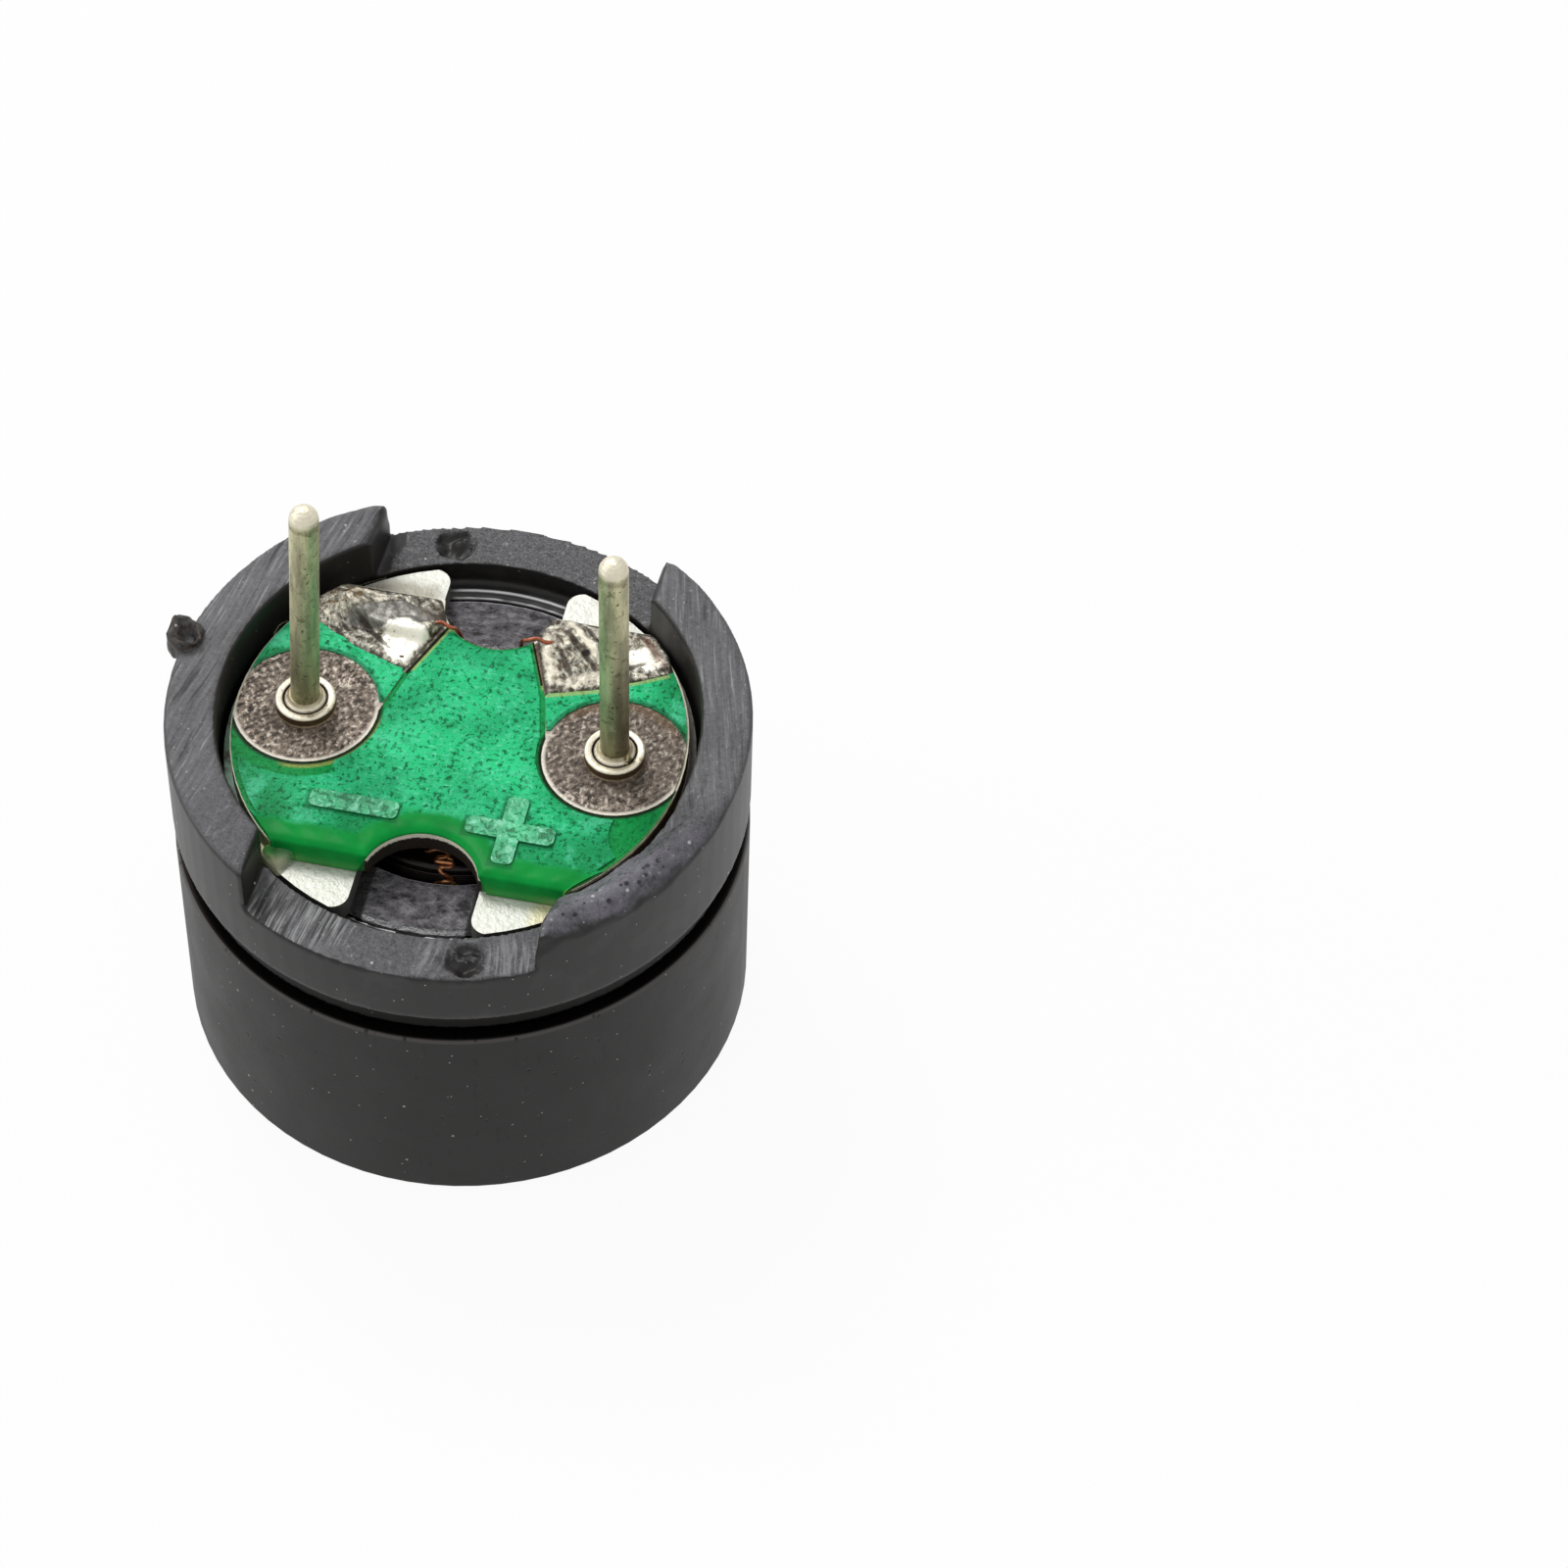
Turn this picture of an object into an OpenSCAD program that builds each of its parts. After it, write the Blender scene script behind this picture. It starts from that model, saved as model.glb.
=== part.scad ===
// Passive magnetic buzzer, 12 mm class: a moulded cup with a sound port, closed by a ring
// that carries the magnet circuit, a small round circuit board and two pins.
// The sound face lies on z = 0, the pins point up, and x runs through both pins.
// Sizes are in millimetres.

/* [Case] */
// Outside diameter of the cup and of the ring
case_d = 12; // [11.8:0.1:12.6]
// Height from the sound face to the raised rims
case_h = 8.5; // [8.4:0.1:9.5]
// Height of the cup
cup_h = 5.25; // [5.1:0.05:5.3]
// Thickness of the sound face
face_t = 0.8; // [0.5:0.1:1.2]
// Thickness of the cup's side wall around the ring
wall_t = 0.7; // [0.6:0.05:0.8]
// Diameter of the sound port
port_d = 2.5; // [1.5:0.1:3]
// Height of the open groove between the cup and the ring
groove_h = 0.7; // [0.6:0.05:0.8]
// Rounding of the moulded edges
edge_r = 0.1; // [0.04:0.01:0.14]

/* [Ring] */
// Width of the raised rims and of the slot's floor
rim_w = 1.05; // [0.95:0.05:1.15]
// Width of the slot across the raised rims
slot_w = 6; // [5:0.1:7]
// Depth of the slot below the rims
slot_depth = 1.15; // [0.8:0.05:1.3]
// Turn of the slot away from square to the pins, in degrees
slot_turn = -2.2; // [-4:0.1:4]
// Diameter of the ejector dimples in the slot's floor
dimple_d = 0.85; // [0.5:0.05:0.9]
// Diameter of the broken gate stub on the rim's outer edge
gate_d = 0.76; // [0.4:0.02:0.9]

/* [Circuit board] */
// Depth of the board's face below the raised rims
board_drop = 0.7; // [0.6:0.05:0.8]
// Thickness of the laminate
laminate_t = 0.46; // [0.4:0.02:0.5]
// Radius of the half-round cut-outs
cut_r = 1.2; // [1:0.05:1.3]
// Distance from the middle to the front chord
front_chord = 3.55; // [3.4:0.05:3.7]
// Distance from the middle to the back chord
back_chord = 3.4; // [3.3:0.05:3.5]
// Diameter of the round pin pads
pad_d = 3; // [2.4:0.1:3]
// Length of the polarity strokes
mark_len = 1.83; // [1.4:0.05:1.9]
// Width of the polarity strokes
mark_w = 0.44; // [0.3:0.02:0.5]

/* [Pins] */
// Distance between the two pins
pin_pitch = 6.5; // [6.3:0.1:6.6]
// Diameter of the pins
pin_d = 0.6; // [0.5:0.05:0.65]
// Height of the pins above the raised rims
pin_rise = 5.4; // [3:0.1:10]
// Lean of the minus pin towards the middle, in degrees
pin_lean = 2.8; // [0:0.1:4]
// Outside diameter of the collar turned on each pin
collar_d = 1.26; // [1:0.02:1.4]
// Height of the collar
collar_h = 0.27; // [0.2:0.01:0.35]

/* [Magnet circuit] */
// Thickness of the steel plate under the board
plate_t = 0.5; // [0.4:0.05:0.6]
// Width of the plate's front and back notches
notch_w = 2.54; // [2.2:0.02:2.7]
// Height of the ring magnet
magnet_h = 2; // [1.6:0.1:2.1]
// Radial width of the ring magnet
magnet_w = 1.28; // [1:0.02:1.4]
// Diameter of the pole inside the coil
pole_d = 2.2; // [1.8:0.1:2.6]
// Air gap between the pole and the diaphragm
air_gap = 0.25; // [0.15:0.05:0.3]
// Thickness of the diaphragm
diaphragm_t = 0.1; // [0.05:0.01:0.12]
// Diameter of the weight on the diaphragm
weight_d = 3; // [2:0.1:3.6]
// Thickness of the weight on the diaphragm
weight_t = 0.5; // [0.3:0.05:0.7]

/* [Hidden] */
$fn = 96;
fine = 32;               // facets of pin-sized rounds
past = 1;                // how far a cutter runs past the face it opens

// radii, from the outside in
case_r = case_d / 2;
bore_r = case_r - rim_w;
seat_step_r = bore_r - 0.26;
seat_r = bore_r - 0.45;
board_r = bore_r - 0.25;
plate_r = bore_r - 0.1;
cup_r = case_r - wall_t;
spigot_r = cup_r - 0.02;
cavity_r = cup_r - 0.35;
lip_r = spigot_r - 0.2;
diaphragm_r = lip_r - 0.05;
magnet_r = seat_r - 0.07;
magnet_in_r = magnet_r - magnet_w;
coil_r = magnet_in_r - 0.4;
coil_in_r = pole_d / 2;

// levels, from the rims down to the diaphragm
slot_z = case_h - slot_depth;
board_z = case_h - board_drop;
foil_t = 0.04;
mask_t = 0.03;
laminate_z = board_z - foil_t;
plate_z = laminate_z - laminate_t;
magnet_z = plate_z - plate_t;
ring_z = cup_h + groove_h;
seat_z = cup_h - 0.9;
lip_z = seat_z - 0.3;
pole_z = seat_z + air_gap;
coil_z = seat_z + 0.45;
coil_top_z = magnet_z - 0.1;

// board layout
pad_x = pin_pitch / 2;
pad_r = pad_d / 2;
pad_gap = 0.12;
front_cut = [0.1, -front_chord - 0.36];
back_cut = [0.05, back_chord + 0.1];

// pins
pin_r = pin_d / 2;
pin_top_z = case_h + pin_rise;
bend_z = board_z + collar_h;
foot_r = pin_r + 0.14;
foot_h = 0.18;
pin_hole_r = pin_r + 0.02;
plate_hole_r = foot_r + 0.3;

lead_r = 0.06;
steps = 5;               // straight steps of a rounded edge

// points of a rounded edge about centre c, from angle a to angle b
function arc(c, r, a, b) =
    [for (i = [0:steps]) let (t = a + (b - a) * i / steps) c + r * [cos(t), sin(t)]];

// turns a closed outline of [radius, height] points into a round solid
module turned(outline) {
    rotate_extrude() polygon(outline);
}

// a plate cut from the 2D shape given as its child
module plate(z0, z1) {
    translate([0, 0, z0]) linear_extrude(height = z1 - z0) children();
}

// draws its child at the plus side (+1) or mirrored to the minus side (-1)
module side(s) {
    if (s > 0) children();
    else mirror([1, 0, 0]) children();
}

// ---- case ----

module sound_case() {
    step_z = lip_z - 0.1;
    port_r = port_d / 2;
    color([0.13, 0.13, 0.13])
    turned(concat(
        [[port_r, 0]],
        arc([case_r - edge_r, edge_r], edge_r, -90, 0),
        arc([case_r - edge_r, cup_h - edge_r], edge_r, 0, 90),
        [[cup_r, cup_h], [cup_r, step_z], [cavity_r, step_z], [cavity_r, face_t],
         [port_r, face_t]]));
}

// outline of the ring's moulding before the slot is cut
module ring_body() {
    shoulder_r = case_r - 0.4;
    band_r = case_r - 0.17;
    line_r = case_r - 0.34;
    band_z = cup_h + 0.2;
    line_z = ring_z - 0.1;
    stair_z = magnet_z - 0.06;
    turned(concat(
        [[lip_r, lip_z], [spigot_r, lip_z], [spigot_r, cup_h], [shoulder_r, cup_h],
         [shoulder_r, band_z], [band_r, band_z], [band_r, line_z], [line_r, line_z],
         [line_r, ring_z]],
        arc([case_r - edge_r, ring_z + edge_r], edge_r, -90, 0),
        arc([case_r - edge_r, case_h - edge_r], edge_r, 0, 90),
        [[bore_r + edge_r / 2, case_h], [bore_r, case_h - edge_r / 2], [bore_r, magnet_z],
         [seat_step_r, magnet_z], [seat_step_r, stair_z], [seat_r, stair_z],
         [seat_r, seat_z], [lip_r, seat_z]]));
}

module base_ring() {
    dimple_at = bore_r + 0.55;
    dimple_depth = 0.09;
    dimple_angle = 107;
    gate_angle = 173.8;
    gate_over = 0.24;
    gate_under = 0.35;
    color([0.16, 0.16, 0.17]) {
        difference() {
            ring_body();
            rotate(slot_turn) {
                translate([-slot_w / 2, -case_r - past, slot_z])
                    cube([slot_w, 2 * (case_r + past), slot_depth + past]);
                for (a = [dimple_angle, dimple_angle + 180])
                    rotate(a) translate([dimple_at, 0, slot_z - dimple_depth])
                        cylinder(d = dimple_d, h = dimple_depth + past, $fn = fine);
            }
        }
        rotate(gate_angle) translate([case_r - 0.02, 0, case_h - gate_under])
            cylinder(d = gate_d, h = gate_under + gate_over, $fn = fine);
    }
}

// ---- circuit board ----

// the board's outline, drawn in by an amount at the front, at the back and all round
module board_shape(front_in, back_in, rim_in) {
    difference() {
        circle(r = board_r - rim_in);
        translate([-case_r, -case_r - front_chord + front_in]) square([case_d, case_r]);
        translate([-case_r, back_chord - back_in]) square([case_d, case_r]);
        translate(front_cut) circle(r = cut_r + front_in);
        translate(back_cut) circle(r = cut_r + back_in);
    }
}

// the plus net's region: the round pad and the corner behind it, grown by g
module net_region(g) {
    translate([pad_x, 0]) circle(r = pad_r + g);
    polygon([[0.8 - g, case_r], [0.8 - g, 3.0], [1.5 - g, 1.25], [1.75 - g, 0.2],
             [pad_x, 0], [case_r, 0], [case_r, case_r]]);
}

// the land for the plus side's coil end, bare of lacquer
module land_window() {
    polygon([[0.98, 2.8], [1.55, 1.36], [2.55, 1.7], [3.85, 2.4], [case_r, 3.4],
             [case_r, case_r], [0.98, case_r]]);
}

// the lacquered neck between the land and the pad
module neck() {
    difference() {
        intersection() {
            polygon([[1.5, 1.25], [1.55, 1.36], [2.55, 1.7], [3.85, 2.4], [case_r, 3.4],
                     [case_r, 0.8], [pad_x, 0.5], [1.72, 0.4]]);
            board_shape(0.08, 0.08, 0.05);
        }
        translate([pad_x, 0]) circle(r = pad_r);
    }
}

// one copper net
module net_foil() {
    intersection() {
        board_shape(0.08, 0.08, 0.05);
        net_region(0);
    }
}

// the copper left in the middle and the front
module field_foil() {
    bare_at = [4.5, -1.85];
    bare_r = 0.95;
    under_pad = 0.4;
    difference() {
        board_shape(0.32, 0.1, 0.12);
        for (s = [-1, 1]) side(s) net_region(pad_gap);
        translate(bare_at) circle(r = bare_r);
        intersection() {
            translate([-pad_x, 0]) circle(r = pad_r + under_pad);
            translate([-case_r, -case_r]) square([case_r - 2.3, case_r - 0.9]);
        }
    }
}

module pin_holes(r, z0, z1) {
    for (s = [-1, 1]) translate([s * pad_x, 0, z0]) cylinder(r = r, h = z1 - z0, $fn = fine);
}

module board_laminate() {
    color([0.42, 0.36, 0.16])
    difference() {
        plate(plate_z, laminate_z) board_shape(0, 0, 0);
        pin_holes(pin_hole_r, plate_z - past, laminate_z + past);
    }
}

module foil(s) {
    color([0.62, 0.57, 0.52])
    difference() {
        plate(laminate_z, board_z) side(s) net_foil();
        pin_holes(pin_hole_r, laminate_z - past, board_z + past);
    }
}

module foil_minus() foil(-1);
module foil_plus() foil(1);

module foil_field() {
    color([0.72, 0.45, 0.2]) plate(laminate_z, board_z) field_foil();
}

// green lacquer: one coat on the bare laminate, and one on the foil, which stands higher
module solder_mask() {
    color([0.1, 0.62, 0.36]) {
        plate(laminate_z, laminate_z + mask_t) difference() {
            board_shape(0.02, 0.02, 0.02);
            field_foil();
            for (s = [-1, 1]) side(s) net_region(0);
        }
        plate(board_z, board_z + mask_t) {
            field_foil();
            for (s = [-1, 1]) side(s) neck();
        }
    }
}

// a flat stroke with rounded corners, centred on the origin
module stroke(len, w) {
    r = w * 0.3;
    square([len - 2 * r, w], center = true);
    square([len, w - 2 * r], center = true);
    for (x = [-1, 1], y = [-1, 1])
        translate([x * (len / 2 - r), y * (w / 2 - r)]) circle(r = r, $fn = fine);
}

mark_at = [1.62, -2.35];
mark_t = 0.05;

module legend_minus() {
    color([0.25, 0.75, 0.5])
    plate(board_z + mask_t, board_z + mask_t + mark_t)
        translate([-mark_at[0], mark_at[1]]) stroke(mark_len, mark_w);
}

module legend_plus() {
    color([0.25, 0.75, 0.5])
    plate(board_z + mask_t, board_z + mask_t + mark_t)
        translate(mark_at) {
            stroke(mark_len, mark_w);
            rotate(90) stroke(mark_len - 0.1, mark_w);
        }
}

// ---- pins, solder and wire ----

// one turned pin: foot, collar with a groove, and a round-ended shank that may lean
module pin(s, lean) {
    z = board_z;
    rim = 0.07;
    rim_in = collar_d / 2 - 0.16;
    groove_z = z + collar_h - 0.13;
    neck_r = pin_r + 0.13;
    press_taper = 0.02;
    shank_len = pin_top_z - pin_r - bend_z;
    color([0.62, 0.6, 0.5])
    translate([s * pad_x, 0, 0]) {
        turned(concat(
            [[0, plate_z - foot_h], [pin_r, plate_z - foot_h], [foot_r, plate_z],
             [pin_r - press_taper, plate_z], [pin_r, z], [collar_d / 2, z]],
            arc([collar_d / 2 - rim, z + collar_h - rim], rim, 0, 90),
            [[rim_in, z + collar_h - 0.02], [rim_in - 0.01, groove_z],
             [neck_r + 0.01, groove_z], [neck_r, z + collar_h - 0.03],
             [neck_r - 0.05, z + collar_h + 0.02], [pin_r + 0.03, z + collar_h + 0.1],
             [0, z + collar_h + 0.1]]));
        translate([0, 0, bend_z]) rotate([0, -s * lean, 0])
            turned(concat([[0, 0], [pin_r, 0]], arc([0, shank_len], pin_r, 0, 90)));
    }
}

module pin_minus() pin(-1, pin_lean);
module pin_plus() pin(1, 0);

// a cap of a ball: radius r on the surface at z = 0 and height h
module mound(r, h) {
    ball_r = (r * r + h * h) / (2 * h);
    intersection() {
        translate([0, 0, h - ball_r]) sphere(r = ball_r);
        translate([-r, -r, 0]) cube([2 * r, 2 * r, h + past]);
    }
}

// solder on the land: a low and a higher lump that run together
module solder_joint(s) {
    color([0.68, 0.64, 0.58])
    translate([0, 0, board_z]) side(s)
    intersection() {
        union() {
            translate([2.0, 2.35, 0]) mound(1.15, 0.32);
            translate([3.0, 2.75, 0]) mound(0.95, 0.26);
            translate([1.6, 2.95, 0]) mound(0.7, 0.24);
        }
        linear_extrude(height = past) intersection() {
            land_window();
            board_shape(0.12, 0.12, 0.1);
        }
    }
}

module solder_joint_minus() solder_joint(-1);
module solder_joint_plus() solder_joint(1);

// a round wire along a list of points, with a ball at each bend
module wire(path, r) {
    for (i = [0:len(path) - 2]) {
        d = path[i + 1] - path[i];
        l = norm(d);
        translate(path[i]) rotate([0, acos(d[2] / l), atan2(d[1], d[0])])
            cylinder(r = r, h = l, $fn = fine);
    }
    for (p = path) translate(p) sphere(r = r, $fn = fine);
}

// from the coil up through the cut-outs behind it and over the board's edge to the solder
module coil_lead(s) {
    top_z = board_z + mask_t + lead_r + 0.02;
    color([0.6, 0.2, 0.1])
    side(s) wire([[0.62, 2.3, coil_top_z + lead_r], [0.7, 2.6, magnet_z + 0.1],
                  [0.66, 2.78, plate_z + 0.2], [0.68, 2.74, top_z], [0.93, 2.72, top_z + 0.02],
                  [1.18, 2.74, top_z]], lead_r);
}

module coil_lead_minus() {
    difference() {
        coil_lead(-1);
        solder_joint(-1);
    }
}

module coil_lead_plus() {
    difference() {
        coil_lead(1);
        solder_joint(1);
    }
}

// ---- magnet circuit ----

module notch_shape(y_in) {
    r = notch_w / 2;
    corner = 0.35;
    translate([-r, y_in]) square([notch_w, case_r]);
    // the rounded outer corners
    for (s = [-1, 1]) translate([s * r, plate_r - 0.62]) difference() {
        translate([s > 0 ? 0 : -corner, 0]) square([corner, corner + past]);
        translate([s * corner, 0]) circle(r = corner, $fn = fine);
    }
}

module yoke_plate() {
    rivet_r = pole_d / 2 - 0.3;
    notch_in = 2.15;
    color([0.85, 0.85, 0.83])
    difference() {
        plate(magnet_z, plate_z) difference() {
            circle(r = plate_r);
            notch_shape(notch_in);
            mirror([0, 1]) notch_shape(notch_in);
            circle(r = rivet_r);
        }
        pin_holes(plate_hole_r, magnet_z - past, plate_z + past);
    }
}

module core_pole() {
    rivet_r = pole_d / 2 - 0.3;
    color([0.6, 0.6, 0.6])
    turned([[0, pole_z], [pole_d / 2 - 0.05, pole_z], [pole_d / 2, pole_z + 0.05],
            [pole_d / 2, magnet_z], [rivet_r, magnet_z], [rivet_r, plate_z], [0, plate_z]]);
}

module magnet_ring() {
    bevel = 0.08;
    low_z = magnet_z - magnet_h;
    color([0.2, 0.2, 0.22])
    turned([[magnet_in_r + bevel, low_z], [magnet_r - bevel, low_z], [magnet_r, low_z + bevel],
            [magnet_r, magnet_z - bevel], [magnet_r - bevel, magnet_z],
            [magnet_in_r + bevel, magnet_z], [magnet_in_r, magnet_z - bevel],
            [magnet_in_r, low_z + bevel]]);
}

module coil() {
    round_r = 0.15;
    color([0.55, 0.2, 0.1])
    turned(concat(
        [[coil_in_r, coil_z]],
        arc([coil_r - round_r, coil_z + round_r], round_r, -90, 0),
        arc([coil_r - round_r, coil_top_z - round_r], round_r, 0, 90),
        [[coil_in_r, coil_top_z]]));
}

module diaphragm() {
    color([0.7, 0.7, 0.7])
    translate([0, 0, seat_z - diaphragm_t]) cylinder(r = diaphragm_r, h = diaphragm_t);
}

module diaphragm_weight() {
    color([0.6, 0.6, 0.58])
    translate([0, 0, seat_z - diaphragm_t - weight_t]) cylinder(d = weight_d, h = weight_t);
}

// ---- glue ----

// a fillet of glue between the plate, the board's front left corner and the ring
module glue_fillet() {
    color([0.5, 0.47, 0.2, 0.6])
    translate([0, 0, plate_z])
    intersection() {
        translate([-2.85, -3.85, 0]) mound(0.62, 0.3);
        plate(0, past) difference() {
            circle(r = bore_r);
            translate([-case_r, -front_chord]) square([case_d, case_d]);
        }
    }
}

sound_case();
base_ring();
board_laminate();
foil_minus();
foil_plus();
foil_field();
solder_mask();
legend_minus();
legend_plus();
pin_minus();
pin_plus();
solder_joint_minus();
solder_joint_plus();
coil_lead_minus();
coil_lead_plus();
yoke_plate();
magnet_ring();
core_pole();
coil();
diaphragm();
diaphragm_weight();
glue_fillet();
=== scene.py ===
"""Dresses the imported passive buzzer: finishes for its parts, solder, glue, coil turns and wear."""

import math

import bpy
from bpy.props import FloatProperty, FloatVectorProperty, IntProperty, PointerProperty
from mathutils import Matrix, Vector, noise


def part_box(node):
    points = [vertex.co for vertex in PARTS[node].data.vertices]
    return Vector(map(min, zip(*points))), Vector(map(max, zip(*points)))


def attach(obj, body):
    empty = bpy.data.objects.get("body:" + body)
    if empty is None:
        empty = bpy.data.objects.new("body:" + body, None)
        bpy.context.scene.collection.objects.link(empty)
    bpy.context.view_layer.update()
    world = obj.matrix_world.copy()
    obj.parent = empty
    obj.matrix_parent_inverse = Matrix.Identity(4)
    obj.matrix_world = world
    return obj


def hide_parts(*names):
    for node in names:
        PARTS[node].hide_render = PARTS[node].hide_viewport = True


bl_info = {
    "name": "Passive Buzzer Dresser",
    "version": (1, 0, 0),
    "blender": (4, 5, 0),
    "location": "3D View > Sidebar > Buzzer",
    "description": "Finishes and small pieces for a round magnetic buzzer",
    "category": "Object",
}

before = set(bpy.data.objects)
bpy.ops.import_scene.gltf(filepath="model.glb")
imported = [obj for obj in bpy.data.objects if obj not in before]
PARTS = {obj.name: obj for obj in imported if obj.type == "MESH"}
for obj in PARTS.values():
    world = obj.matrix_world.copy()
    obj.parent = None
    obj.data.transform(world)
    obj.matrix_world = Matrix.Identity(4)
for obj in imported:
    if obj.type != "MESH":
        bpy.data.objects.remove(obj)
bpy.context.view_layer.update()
MM = 0.001
TURN = 2 * math.pi

# how far the rims stand above the polarity marks, and the gap round the board
RIM_OVER_MARK = 0.62
BOARD_GAP = 0.25


def upper(node):
    """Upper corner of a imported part's box, in millimetres."""
    return [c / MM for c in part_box(node)[1]]


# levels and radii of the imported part, in millimetres
BOARD_Z = round(upper("foil_plus")[2], 3)
COAT_Z = round(upper("solder_mask")[2], 3)
PLATE_Z = round(upper("yoke_plate")[2], 3)
MAGNET_Z = round(upper("magnet_ring")[2], 3)
RIM_Z = round(upper("legend_plus")[2], 3) + RIM_OVER_MARK
CUP_Z = round(upper("sound_case")[2], 3)
CASE_R = round(upper("sound_case")[0], 3)
BORE_R = round(upper("board_laminate")[0] + BOARD_GAP, 3)

# the floor of the slot across the ring, and the upper end of the groove over the cup
SLOT_Z = 7.35
GROOVE_Z = CUP_Z + 0.71

# the pins' axes and their pads, and where the pins' points begin
PAD_X = 3.25
PAD_R = 1.5
POINT_Z = 13.56

# the board's front chord, and its two half-round cut-outs
FRONT_CHORD = -3.55
FRONT_CUT = (0.1, -3.91)
BACK_CUT = (0.05, 3.5)
CUT_R = 1.2

# the broken gate stub and the two ejector dimples of the ring
GATE = (-5.945, 0.646)
GATE_R = 0.46
GATE_FOOT = 8.12
DIMPLES = ((1.405, -5.317), (-1.405, 5.317))


def tone(red, green, blue):
    """Linear colour of display values from 0 to 255."""
    return tuple(
        c / 3294.6 if c <= 10.31 else ((c / 255 + 0.055) / 1.055) ** 2.4
        for c in (red, green, blue)
    )


def colour(name, description, *display):
    """A colour setting whose default is given in display values."""
    return FloatVectorProperty(
        name=name,
        description=description,
        default=tone(*display),
        subtype="COLOR",
        min=0,
        max=1,
    )


def length(name, description, millimetres):
    """A length setting, given in millimetres."""
    return FloatProperty(
        name=name,
        description=description,
        default=millimetres * MM,
        unit="LENGTH",
        min=0,
        precision=5,
    )


class BuzzerColours(bpy.types.PropertyGroup):
    plastic: colour("Plastic", "Black moulded plastic", 23, 21, 20)
    sanded: colour("Sanded plastic", "Plastic where it was sanded flat", 92, 92, 94)
    lacquer: colour("Lacquer", "Green lacquer over copper", 38, 202, 130)
    deep_lacquer: colour("Deep lacquer", "Green lacquer over bare laminate", 2, 142, 56)
    ink: colour("Marks", "Pale ink of the polarity marks", 66, 178, 124)
    pad: colour("Pads", "Tinned pads", 112, 100, 89)
    laminate: colour("Laminate", "Sawn edge of the laminate", 92, 74, 44)
    pin: colour("Pins", "Tarnished pin plating", 200, 196, 158)
    solder: colour("Solder", "Dull solder", 150, 148, 136)
    flux: colour("Flux", "Burnt flux on the solder", 96, 80, 56)
    steel: colour("Plated steel", "Bright plated plate", 222, 222, 213)
    magnet: colour("Magnet", "Sintered magnet", 80, 78, 81)
    copper: colour("Wire", "Enamelled copper wire", 150, 76, 46)
    glue: colour("Glue", "Clear yellowish glue", 196, 200, 160)


class BuzzerSizes(bpy.types.PropertyGroup):
    solder_rise: length("Solder height", "Height of the solder's lumps", 0.3)
    wire_d: length("Wire", "Diameter of the coil's wire", 0.07)
    fibre_d: length("Fibre", "Diameter of the stray glue threads", 0.035)
    coil_layers: IntProperty(
        name="Coil turns", description="Turns in the coil's outer layer", default=25, min=5, max=60
    )
    streak_depth: length("Sanding depth", "Depth of the sanding streaks", 0.012)


# ---- shaders ----


class Value:
    """A socket of a node tree that takes part in arithmetic."""

    def __init__(self, paint, socket):
        self.paint, self.socket = paint, socket

    def math(self, operation, *terms, clamp=False):
        return self.paint.node(
            "ShaderNodeMath", {"operation": operation, "use_clamp": clamp}, dict(enumerate(terms))
        )

    def __add__(self, other):
        return self.math("ADD", self, other)

    def __radd__(self, other):
        return self.math("ADD", other, self)

    def __sub__(self, other):
        return self.math("SUBTRACT", self, other)

    def __rsub__(self, other):
        return self.math("SUBTRACT", other, self)

    def __mul__(self, other):
        return self.math("MULTIPLY", self, other)

    def __rmul__(self, other):
        return self.math("MULTIPLY", other, self)

    def __truediv__(self, other):
        return self.math("DIVIDE", self, other)

    def __pow__(self, other):
        return self.math("POWER", self, other)

    def __abs__(self):
        return self.math("ABSOLUTE", self)

    def low(self, other):
        return self.math("MINIMUM", self, other)

    def high(self, other):
        return self.math("MAXIMUM", self, other)

    def clamp(self):
        return self.math("ADD", self, 0.0, clamp=True)

    def rise(self, start, end, low=0.0, high=1.0):
        """Smooth step from low to high as the value goes from start to end."""
        return self.paint.node(
            "ShaderNodeMapRange",
            {"interpolation_type": "SMOOTHSTEP"},
            {0: self, 1: start, 2: end, 3: low, 4: high},
        )

    def near(self, centre, reach):
        """1 at centre, falling to 0 at that distance from it."""
        return abs(self - centre).rise(reach, 0.0)


class Nodes:
    """A node tree and the one method that adds its nodes."""

    def __init__(self, tree):
        self.tree = tree

    def node(self, kind, settings=None, sockets=None, output=0):
        """Adds a node: its settings first, then the values or links of its sockets."""
        made = self.tree.nodes.new(kind)
        for key, value in (settings or {}).items():
            setattr(made, key, value)
        for key, value in (sockets or {}).items():
            if isinstance(value, Value):
                self.tree.links.new(value.socket, made.inputs[key])
            else:
                made.inputs[key].default_value = value
        return Value(self, made.outputs[output])


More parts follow.
